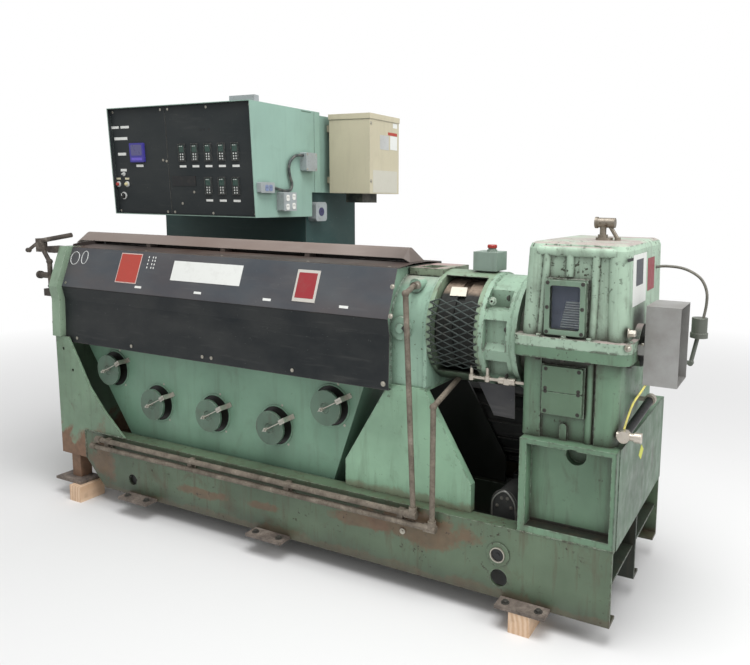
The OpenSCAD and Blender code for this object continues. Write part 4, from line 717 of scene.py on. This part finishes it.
# a near-black strip along the panels' joint is painted shadow under the leaning panel
joint_gap = printed("joint_shadow", (24, 24, 24), 0.7, 0.2)
joint = outline("y", 15, -3115, -1000, lean_foot - 2.5, lean_foot + 0.5)
plate("panel_joint_shadow", joint, front, 1.2, joint_gap)
web_sheet = dusty_sheet("ridge_web_sheet", (46, 38, 36), amount=0.1)
plate("ridge_web", outline("y", 301, -3236, -1054, 1329, 1384), front, 3, web_sheet)
roof_end = [(-3115, y, z) for y, z in ((97, 1322), (300, 1322), (300, 1370), (237, 1349), (160, 1343), (100, 1334))]
plate("roof_end_web", roof_end, left, 2, web_sheet)
roof_screws = [(x, y, 1319) for x in (-3080, -2550, -2020, -1490, -1050) for y in (112, 488)]
screws("roof_screws", roof_screws, up, 5, 9)

# Discharge end
# The green end frame of the cover, the oiled barrel with its die flange, and the rusty
# swing bolt that clamps the die.
finish_node(worn_paint("end_enamel", (140, 164, 140), chips=0.4, grime=0.3), "discharge_end_plate")
finish_node(plated_steel("barrel_steel", (120, 112, 104), 0.4, 0.6), "barrel")
finish_node(rusty_steel("clamp_steel", dark=(46, 42, 39), light=(96, 88, 80), shine=0.4), "swing_clamp")
end_screws = [(-3179, y, z) for y, z in ((62, 1290), (538, 1290), (-14, 1104), (614, 1104), (-2, 900), (602, 900))]
fasten("end_frame_screws", end_screws, left, 6, dark_bolt, seed=12)

# Feed housing
# A grey iron casting in pale green; its top and the throat plate are rusty, because
# the hopper has been lifted off.
finish_node(worn_paint("feed_enamel", (142, 173, 153), chips=0.5, grime=0.35, pits=0.5, edge_chips=0.5,
                       top_dust=(0.7, (170, 160, 152))), "feed_housing")
finish_node(worn_paint("throat_enamel", (136, 150, 128), chips=0.8, grime=0.7, edge_chips=0.8,
                       top_dust=(1.6, (166, 142, 138))), "throat_plate")
plug_black = printed("plug_black", (38, 40, 40), 0.5, 0.4)
square_plug = [(-929 + a, 53, 1068 + b) for a, b in ((20, 0), (0, 20), (-20, 0), (0, -20))]
plate("square_plug", square_plug, front, 14, plug_black, 2)
fasten("boss_bolt", [(-913, 118, 1247)], front, 12, bright_bolt, seed=5)

# Drive line
# Lantern casting, rusty coupling behind an expanded-metal guard, and the thrust housing
# with its cast pockets.
finish_node(worn_paint("lantern_enamel", (128, 150, 126), chips=0.6, grime=0.8, pits=0.6, soil=(96, 80, 60),
                       shade=("Z", 960, 850, 0.9), edge_chips=0.6), "shaft_housing")
# below the guard's top edge the coupling is darkened to black: painted shade behind the guard
finish_node(rusty_steel("coupling_rust", dark=(92, 78, 66), light=(160, 142, 124), shine=0.2,
                        shade=("Z", 1226, 1206, 1.45)), "drive_coupling")
finish_node(worn_paint("mesh_enamel", (48, 58, 55), chips=0.4, grime=0.7, rough=0.5, edge_wear_and_highlight=(92, 102, 98)),
            "mesh_guard")
finish_node(worn_paint("thrust_enamel", (146, 174, 152), chips=0.6, grime=0.5, pits=0.6, shade=("Z", 930, 820, 0.7),
                       edge_chips=0.7), "thrust_housing")
# a curved lip closes the lantern's back window above the mesh
lip_radius, lip_turns = 236, [math.radians(35 + 6.5 * k) for k in range(7)]
lip_arc = [(300 + lip_radius * math.cos(a), 1062 + lip_radius * math.sin(a)) for a in lip_turns]
lip = [[(-818, y0, z0), (-618, y0, z0), (-618, y1, z1), (-818, y1, z1)]
       for (y0, z0), (y1, z1) in zip(lip_arc, lip_arc[1:])]
lip_enamel = worn_paint("lip_enamel", (112, 116, 92), chips=0.6, grime=0.9, soil=(96, 78, 60))
plate("lantern_lip", lip, (0, 60, 80), 3, lip_enamel)
coupling_tag = [(-712, 194, 1241), (-786, 193, 1240), (-775, 152, 1207), (-700, 154, 1209)]
cream_plate = printed("cream_plate", (222, 216, 200), dirt=0.35)
plate("coupling_tag", coupling_tag, (0, -36, 45), 1.5, cream_plate)
pocket_spots = [(-481, 95, 1225), (-481, 75, 1100), (-481, 95, 905)]
fasten("pocket_bolts", pocket_spots, left, 9, dark_bolt, seed=7)
finish_node(dusty_sheet("drip_sheet", (62, 62, 68), amount=0.25), "drip_plate")
casting_green = worn_paint("casting_enamel", (160, 184, 163), chips=1.3, grime=0.5, rough=0.42, pits=0.8,
                           bare=(66, 70, 58), top_dust=(1.1, (168, 156, 150)), edge_chips=0.9, hollow=0.5)


def turned(name, centre, out, rings, material):
    """A round fitting, from its radii at rising distances from the face that it sits on."""
    sides = 24
    shape = bmesh.new()
    turn_to = Vector(out).to_track_quat("Z", "Y").to_matrix()
    loops = []
    for radius, rise in rings:
        ring = [Vector((a, b, rise)) / 1000 for a, b in round_points(sides, radius)]
        loops.append([shape.verts.new(at(*centre) + turn_to @ point) for point in ring])
    for low, high in zip(loops, loops[1:]):
        for k in range(sides):
            shape.faces.new((low[k], low[(k + 1) % sides], high[(k + 1) % sides], high[k]))
    shape.faces.new(loops[0])
    shape.faces.new(loops[-1])
    keep_shape(name, shape, material)


plug_rings = ((17, 0), (17, 5), (11, 6), (10, 14), (5, 14), (4, 6))
turned("bell_plug", (-549, 90, 1209), front, plug_rings, casting_green)

# Gearbox
# Split cast housing with ribs and corner columns in thick pale enamel, chipped down to
# dark primer on every edge.
finish_node(casting_green, "gearbox_upper")
finish_node(worn_paint("lower_casting_enamel", (101, 130, 106), chips=0.6, grime=0.6, pits=0.7, edge_chips=0.7,
                       hollow=0.6), "gearbox_lower")
finish_node(worn_paint("cover_plate_enamel", (88, 112, 90), chips=0.25, grime=0.3, edge=0.4), "gearbox_covers")
finish_node(worn_paint("window_frame_enamel", (116, 140, 120), chips=0.4, grime=0.4), "window_frame")
finish_node(plated_steel("breather_steel", (150, 142, 130), 0.4, 0.7), "breather")
cover_spots = [(x, 31, z) for x in (-297, -166) for z in (974, 898, 886, 808)]
screws("cover_bolts", cover_spots, front, 5.2, 3, dark_bolt)
window_spots = [(x, 29, z) for x in (-300, -163) for z in (1119, 1213, 1307)]
screws("window_bolts", window_spots, front, 5.2, 4, dark_bolt)
joint_places = [(x, y) for x in (-330, -231, -133) for y in (29, 706)] + [(13, y) for y in (60, 380, 545, 680)]
joint_top, joint_under = 1098, 1018
fasten("joint_bolts", [(x, y, joint_top) for x, y in joint_places], up, 11, casting_green, seed=6)
fasten("joint_nuts", [(x, y, joint_under) for x, y in joint_places], (0, 0, -1), 11, dark_bolt, seed=9)
fasten("corner_dowel", [(14, 22, 1088)], (0.7, -0.7, 0), 10, bright_bolt, seed=2, height=1.1)
gear_steel = plated_steel("gear_steel", (168, 174, 178), 0.35, 0.3, 0.2)
cavity = printed("cavity_paint", (86, 92, 108), 0.4, 0.6, (58, 54, 60))
plate("gear_cavity", outline("y", 56.5, -289, -174, 1130, 1296), front, 1, cavity)
tooth_shape, tooth_pitch = bmesh.new(), 9.4
for i in range(11):
    z = 1136 + tooth_pitch * i
    tooth = [(0, 0), (0, 7), (-7.5 + 0.35 * i, 5), (-7.5 + 0.35 * i, 2)]
    ends = [[tooth_shape.verts.new(at(x, 55.5 + a, z + b)) for a, b in tooth] for x in (-252 + 2 * i, -178)]
    tooth_shape.faces.new(ends[0])
    tooth_shape.faces.new(ends[1][::-1])
    for k in range(4):
        tooth_shape.faces.new((ends[0][k], ends[1][k], ends[1][(k + 1) % 4], ends[0][(k + 1) % 4]))
keep_shape("gear_teeth", tooth_shape, gear_steel)


def oily_glass(name):
    """Thin glass with an oil film that dims it in patches."""
    material, tree, shader, place = new_finish(name)
    film = remap(tree, noise(tree, place, 20, 5), 0.3, 0.7, 0.01, 0.06)
    give(tree, shader, {"Base Color": colour(238, 240, 240), "Transmission Weight": 1.0, "IOR": 1.2,
                        "Roughness": film})
    return material


finish_node(oily_glass("oily_glass"), "window_glass")


def end_x(z):
    """Where the leaning end wall of the upper casting is at a height."""
    return 2.2 - 8 * (z - 1062) / 371


def end_label(name, y0, y1, z0, z1, material, thick=1):
    corners = [(end_x(z), y, z) for y, z in ((y1, z1), (y0, z1), (y0, z0), (y1, z0))]
    plate(name, corners, right, thick, material)


black_tab = printed("black_tab", (30, 32, 32), 0.5, 0.2)
end_label("end_label_white", 128, 360, 1222, 1416, white_label)
end_label("end_label_grey", 180, 300, 1296, 1396, printed("grey_print", (84, 86, 92), 0.5, 0.4), 1.6)
end_label("end_label_red", 390, 521, 1256, 1388, printed("maroon_label", (146, 70, 76), dirt=0.3))
end_label("end_label_tab", 40, 128, 1398, 1408, black_tab)
yellow_label = printed("yellow_label", (206, 210, 74), 0.4, 0.2)
diamond = [(3, 414 + a, 572 + b) for a, b in ((46, 0), (0, 32), (-46, 0), (0, -32))]
plate("diamond_label", diamond, right, 1, yellow_label)

# Shaft guard and sensor
# A box folded from bare aluminium sheet over the input shaft, the shaft speed sensor
# on its arm behind it, and the stop box with its red button.


def bare_sheet(name):
    """Rolled aluminium sheet: fine lines along the rolling direction, thumb marks and dull clouds."""
    material, tree, shader, place = new_finish(name)
    lines = noise(tree, place, 60, 5, 0.6, stretch=(14, 14, 0.5))
    cloud = noise(tree, place, 8, 5, 0.6)
    skin = blend(tree, remap(tree, cloud, 0.35, 0.7, 0, 0.5), colour(164, 164, 162), colour(118, 112, 106))
    give(tree, shader, {"Base Color": skin, "Metallic": 0.4, "Roughness": remap(tree, lines, 0.3, 0.7, 0.32, 0.5)})
    relief(tree, shader, lines, 0.0002, 0.4)
    return material


finish_node(bare_sheet("bare_aluminium"), "shaft_guard")
finish_node(worn_paint("sensor_enamel", (96, 100, 92), chips=0.5, grime=0.5), "speed_sensor")
finish_node(worn_paint("stop_box_enamel", (132, 150, 139), chips=0.2, grime=0.2, fade=0.05), "stop_box")
red_lamp = printed("red_lamp", (160, 50, 44), 0.2, 0.1)
turned("stop_button", (-648, 300, 1406), up, ((18, 0), (21, 3), (21, 12), (18.5, 15.6)), red_lamp)
bracket_bolts = [(40, y + 15, 1078) for y in (142.5, 311.5)]
fasten("bracket_bolts", bracket_bolts, up, 8, bright_bolt, seed=5)
fasten("guard_bolt", [(6, 60, 1137)], right, 14, bright_bolt, seed=7, height=1.4)
screws("guard_rivets", [(51, y, z) for y in (150, 334) for z in (948, 1212)], right, 3, 5)

# Pipes and motor
# Water headers and risers with brown oxide paint, bare oil tube, the black motor on the
# shelf, and the ports in the front rail that pipes go through.
pipe_rust = rusty_steel("pipe_rust", dark=(78, 70, 60), light=(140, 130, 116), shine=0.4)
finish_node(pipe_rust, "header_pipes", "riser_pipes")


def hose_and_fittings(name):
    """Dull bright fittings, and black rubber where the hose runs between its two end fittings."""
    material = plated_steel(name, (206, 198, 186), 0.35, 0.3)
    tree = material.node_tree
    shader = next(piece for piece in tree.nodes if piece.type == "BSDF_PRINCIPLED")
    place = tree.nodes.new("ShaderNodeTexCoord").outputs["Object"]
    spot = wire(tree, "ShaderNodeSeparateXYZ", {"Vector": place}).outputs
    hose, half_length = at(0, 230, 0), 0.154
    beyond = maths(tree, "GREATER_THAN", spot["X"], hose.x)
    off = maths(tree, "ABSOLUTE", maths(tree, "SUBTRACT", spot["Y"], hose.y))
    rubber = times(tree, beyond, maths(tree, "LESS_THAN", off, half_length))
    steel = shader.inputs["Base Color"].links[0].from_socket
    give(tree, shader, {"Base Color": blend(tree, rubber, steel, colour(26, 27, 28)),
                        "Metallic": times(tree, maths(tree, "SUBTRACT", 1, rubber), 0.75)})
    return material


finish_node(hose_and_fittings("hose_and_fittings"), "oil_pipes")
finish_node(dusty_sheet("motor_enamel", (26, 28, 30), amount=0.2, rough=0.5), "motor_and_pump")
rim_places = ((-548, 205), (-553, 300), (-545, 360), (-498, 399), (-455, 362), (-444, 300), (-446, 205))
pump_rim_steel = plated_steel("pump_rim_steel", (150, 150, 146), 0.4, 0.4)
tube_along("pump_rim", [(x, 137, z) for x, z in rim_places], 4, pump_rim_steel)
pump_places = ((-530, 239), (-530, 330), (-510, 366), (-484, 368), (-466, 330), (-464, 238))
pump_bolt_steel = plated_steel("pump_bolt_steel", (120, 118, 112), 0.5, 0.5)
fasten("pump_bolts", [(x, 140, z) for x, z in pump_places], front, 5.5, pump_bolt_steel, seed=6)
instrument = printed("instrument_case", (24, 26, 28), 0.35, 0.15)
hub_rings = ((26.9, 0), (26.9, 0.6), (9, 1), (8, 4))
for name, x, y, z, rings, look in (
        ("rail_port_flange", -462, 0, 190, ((50, 0), (50, 5), (34, 7)), rail_paint),
        ("rail_port", -462, 0, 190, ((32, 6.9), (32, 14), (28, 14), (27, 4)), bright_bolt),
        ("small_fitting", -910, 0, 186, ((13, 0), (13, 6), (7, 7), (7, 12)), bright_bolt),
        ("rail_port_hub", -462, -7.2, 190, hub_rings, instrument)):
    turned(name, (x, y, z), front, rings, look)

# Console
# Folded sheet housing in pale green over a dark cabinet, with black instrument panels,
# a beige starter box beside it and small outlet boxes on its side.
door_seams = (("X", -3310), ("X", -2749), ("X", -2188), ("Z", 40), ("Z", 1600))
finish_node(dusty_sheet("cabinet_enamel", (46, 72, 70), amount=0.08, seams=door_seams), "console_cabinet")
finish_node(worn_paint("console_enamel", (140, 171, 158), chips=0.1, grime=0.12, fade=0.04, edge=0.2, pits=0.1),
            "console_housing")
console_black = dusty_sheet("console_black", (38, 44, 46), amount=0.07, rough=0.42)
finish_node(console_black, "console_panels")
finish_node(worn_paint("beige_enamel", (194, 187, 162), chips=0.1, grime=0.1, fade=0.03, edge=0.2, pits=0.1,
                       shade=("Z", 1640, 1634, 1.0)), "starter_box")
finish_node(plated_steel("galvanised", (170, 178, 180), 0.45, 0.25, 0.3), "outlet_boxes")


recess_depth = 21
rim_foot, rim_rise, rim_lean = 1497, 617, 31
lean_out = (0, -rim_rise, -rim_lean)


def panel_y(z, recess=recess_depth):
    """How far back the console's panels are at a height, or its rim with no recess."""
    return 432 + rim_lean * (1 - (z - rim_foot) / rim_rise) + recess


# black lining of the four walls round the panels: painted shade in the recess
lining = ((1502, 1), (1502, recess_depth), (2109, recess_depth), (2109, 1))
for tag, x, way in (("left", -3206, right), ("right", -2114, left)):
    corners = [(x, panel_y(z, recess), z) for z, recess in lining]
    plate("recess_%s" % tag, corners, way, 0.8, console_black)
for tag, z, way in (("top", 2109.5, (0, 0, -1)), ("bottom", 1501.5, up)):
    corners = [(x, panel_y(z, recess), z) for x, recess in ((-3205, 1), (-2115, 1), (-2115, 20), (-3205, 20))]
    plate("recess_%s" % tag, corners, way, 0.8, console_black)


def on_panels(name, outlines, thick, material, bevel=0.0):
    """A plate, or a list of them, on the console's leaning panels."""
    plate(name, outlines, lean_out, thick, material, bevel)


def leaned(x0, x1, z0, z1, r=0):
    """Corners of a rectangle with round corners on the leaning panels."""
    return [(x, panel_y(z), z) for x, y, z in outline("y", 0, x0, x1, z0, z1, r)]


def boxes(spots, wide, high, z_shift=0):
    """Outlines of equal rectangles round spots on the leaning panels."""
    places = [(x, z + z_shift) for x, z in spots]
    return [leaned(x - wide / 2, x + wide / 2, z - high / 2, z + high / 2) for x, z in places]


controller_face = printed("controller_face", (28, 36, 35), 0.2, 0.1)
controller_glass = printed("controller_glass", (48, 74, 66), 0.15, 0.15)
silver = plated_steel("silver_plate", (206, 208, 206), 0.35, 0.15, 0.3)
cream_lamp = printed("cream_lamp", (206, 196, 150), 0.2, 0.1)
upper_row = [(-2642 + 99 * i, 1850) for i in range(5)]
lower_row = [(-2456 + 101 * i, 1666) for i in range(3)]
controllers = upper_row + lower_row
on_panels("controller_faces", boxes(controllers, 42, 90), 5, controller_face)
on_panels("controller_displays", boxes(controllers, 36, 38, 22), 5.8, controller_glass)
marks = [(x + a, z + 36) for x, z in controllers for a in (-10, 4)]
on_panels("controller_marks", boxes(marks, 9, 3), 6.4, white_label)
dots = [(x + a, z + b) for x, z in controllers for a in (-9, 9) for b in (-8, -22, -36)]
on_panels("controller_keys", boxes(dots, 7, 7), 6.4, white_label)
on_panels("controller_tags", boxes(upper_row, 50, 12, -75) + boxes(lower_row, 50, 12, -80), 1.2, white_label)
on_panels("meter_case", leaned(-3058, -2940, 1801, 1912, 6), 12, printed("meter_violet", (66, 60, 150), 0.3, 0.15), 2)
meter_grey = printed("meter_grey", (92, 90, 132), 0.2, 0.2)
on_panels("meter_window", leaned(-3044, -2954, 1840, 1902, 8), 12.8, meter_grey)
meter_blue = printed("meter_strip", (108, 92, 200), 0.2, 0.1)
on_panels("meter_strip", leaned(-3044, -2954, 1812, 1828, 2), 12.8, meter_blue)
labels = [(-3177, 2005, 66, 14), (-3092, 2005, 70, 14), (-3133, 1940, 110, 16), (-3135, 1850, 68, 16),
          (-3133, 1756, 50, 15), (-2991, 1781, 58, 14)]
label_boxes = [box for x, z, wide, high in labels for box in boxes([(x, z)], wide, high)]
on_panels("console_labels", label_boxes, 1.2, white_label)
cream_tag = printed("cream_tag", (214, 208, 178), 0.4, 0.2)
on_panels("lamp_tags", boxes([(-3184, 1706), (-3110, 1706)], 34, 11), 1.2, cream_tag)
on_panels("blanking_plate", leaned(-2735, -2551, 1665, 1721, 3), 2.5, instrument, 0.8)


def panel_fitting(name, x, z, rings, material):
    """A round fitting on the console's leaning panels."""
    turned(name, (x, panel_y(z), z), lean_out, rings, material)


bezel, lens = ((17, 0), (17, 5), (13, 8), (10, 8)), ((10, 7.9), (10, 12), (8, 18), (4, 20))
panel_fitting("toggle_switch", -3132, 1733, ((12, 0), (12, 5), (5, 7), (4, 18)), silver)
for tag, x, look in (("left", -3184, red_lamp), ("right", -3110, cream_lamp)):
    panel_fitting(tag + "_lamp_bezel", x, 1674, bezel, silver)
    panel_fitting(tag + "_lamp", x, 1674, lens, look)
panel_fitting("selector_ring", -3145, 1606, ((22, 0), (22, 5), (17, 7)), silver)
panel_fitting("selector_knob", -3145, 1606, ((16, 6.9), (15, 20), (12, 22)), instrument)
on_panels("selector_pointer", leaned(-3147, -3143, 1606, 1619), 23, white_label)
# black discs in the panel's empty holes are painted shade
for i, x in enumerate((-2490, -2464, -2427)):
    panel_fitting("panel_hole_%d" % (i + 1), x, 1974, ((6, 0), (6, 0.8)), instrument)
panel_screws = [(-2797, 1811), (-2769, 1805), (-2732, 2093), (-2439, 2093), (-2435, 1515), (-2733, 1516), (-2667, 1566),
                (-2570, 1631), (-3185, 2093), (-2790, 2093), (-3185, 1516), (-2790, 1516), (-2128, 2093), (-2128, 1516)]
screws("panel_screws", [(x, panel_y(z), z) for x, z in panel_screws], lean_out, 5, 8)


def on_side(name, x, y0, y1, z0, z1, thick, material, r=0, bevel=0.0):
    """A plate on a face that looks towards the gearbox end."""
    plate(name, outline("x", x, y0, y1, z0, z1, r), right, thick, material, bevel)


# outlets, with the two slots of each drawn as black plates: painted shade in the openings
outlet_face = printed("outlet_face", (122, 136, 168), 0.35, 0.15)
round_face = printed("round_face", (58, 56, 92), 0.35, 0.15)
ivory = printed("ivory_plate", (228, 228, 222), 0.4, 0.1)
for tag, x, y, z in (("small_1", -2080, 523, 1658), ("small_2", -2080, 555, 1659), ("double_1", -2058, 670, 1606),
                     ("double_2", -2058, 722, 1612), ("double_3", -2058, 668, 1556), ("double_4", -2058, 721, 1561),
                     ("round", -2100, 1033, 1525)):
    if tag == "round":
        turned("socket_round", (x, y, z), right, ((26, 0), (26, 1.5), (22, 2), (20, 1.9)), round_face)
    else:
        face = outlet_face if tag.startswith("small") else ivory
        on_side("socket_" + tag, x, y - 13, y + 13, z - 17, z + 17, 2, face, 8, 0.5)
    for i, a in enumerate((-5, 5)):
        on_side("slot_%s_%d" % (tag, i + 1), x, y + a - 1.2, y + a + 1.2, z - 2, z + 8, 2.3, instrument)
screws("junction_screws", [(-2064, y, z) for y in (856, 938) for z in (1773, 1858)], right, 4, 3)
# bare labels and catches of the starter box
starter_x = -1796
for i, (y0, y1, z0, z1, look) in enumerate(((1363, 1412, 2042, 2070, white_label), (1305, 1412, 1994, 2012, red_label),
                                            (1330, 1413, 1908, 1992, white_label), (1214, 1314, 1904, 1990, silver))):
    on_side("starter_label_%d" % (i + 1), starter_x, y0, y1, z0, z1, 0.8, look)
pale_field = printed("pale_field", (200, 198, 185), 0.45, 0.15, (180, 176, 160))
on_side("starter_window", starter_x, 1136, 1415, 1645, 1778, 0.6, pale_field)
screws("starter_catches", [(starter_x, 1115, z) for z in (1712, 2050)], right, 7, 2)
side_mark = printed("side_mark", (88, 110, 98), 0.5, 0.2)
on_side("console_mark", -2110, 862, 954, 2101, 2107, 0.5, side_mark)

# Floor and light
# A pale sweep under the machine, a large soft lamp above the operator's side and an
# even white surround.
floor_mesh, far = bpy.data.meshes.new("floor"), 30
floor_mesh.from_pydata([(-far, -far, 0), (far, -far, 0), (far, far, 0), (-far, far, 0)], [], [(0, 1, 2, 3)])
floor = into_scene("floor", floor_mesh)
floor_finish, floor_tree, floor_shader, floor_place = new_finish("pale_floor")
give(floor_tree, floor_shader, {"Base Color": (0.78, 0.78, 0.78, 1), "Roughness": 0.9})
reach = wire(floor_tree, "ShaderNodeVectorMath", {0: floor_place}, operation="LENGTH").outputs["Value"]
glow = wire(floor_tree, "ShaderNodeEmission", {"Color": (1, 1, 1, 1), "Strength": 1.0}).outputs["Emission"]
seen_floor = floor_tree.nodes.new("ShaderNodeLightPath").outputs["Is Camera Ray"]
share = maths(floor_tree, "MULTIPLY", remap(floor_tree, reach, 2.6, 7.0), seen_floor)
fading = wire(floor_tree, "ShaderNodeMixShader", {0: share, 1: floor_shader.outputs["BSDF"], 2: glow})
floor_out = next(node for node in floor_tree.nodes if node.type == "OUTPUT_MATERIAL")
give(floor_tree, floor_out, {"Surface": fading.outputs["Shader"]})
floor_mesh.materials.append(floor_finish)

world = bpy.data.worlds.new("surround")
bpy.context.scene.world = world
world.use_nodes = True
sky = world.node_tree
sky.nodes.clear()
path = sky.nodes.new("ShaderNodeLightPath").outputs
seen = maths(sky, "MAXIMUM", path["Is Camera Ray"], path["Is Transmission Ray"])
plain = wire(sky, "ShaderNodeBackground", {"Color": (1, 1, 1, 1), "Strength": 0.62})
white = wire(sky, "ShaderNodeBackground", {"Color": (1, 1, 1, 1), "Strength": 1.0})
mixed = wire(sky, "ShaderNodeMixShader", {0: seen, 1: plain.outputs["Background"], 2: white.outputs["Background"]})
wire(sky, "ShaderNodeOutputWorld", {"Surface": mixed.outputs["Shader"]})


def lamp(name, place, target, size, power):
    """A round soft lamp at a place, turned to a target, both in metres in the frame."""
    light = bpy.data.lights.new(name, "AREA")
    light.shape, light.size, light.energy = "DISK", size, power
    piece = into_scene(name, light)
    aim = (Vector(target) - Vector(place)).to_track_quat("-Z", "Y")
    piece.matrix_world = Matrix.LocRotScale(Vector(place), aim, None)


lamp("overhead_lamp", (1.5, -1.5, 6.0), (0, 0, 0.8), 4.0, 260)
lamp("end_lamp", (6.0, -1.5, 4.0), (0.8, 0, 1.0), 3.0, 110)

bpy.context.scene.view_settings.view_transform = "Standard"
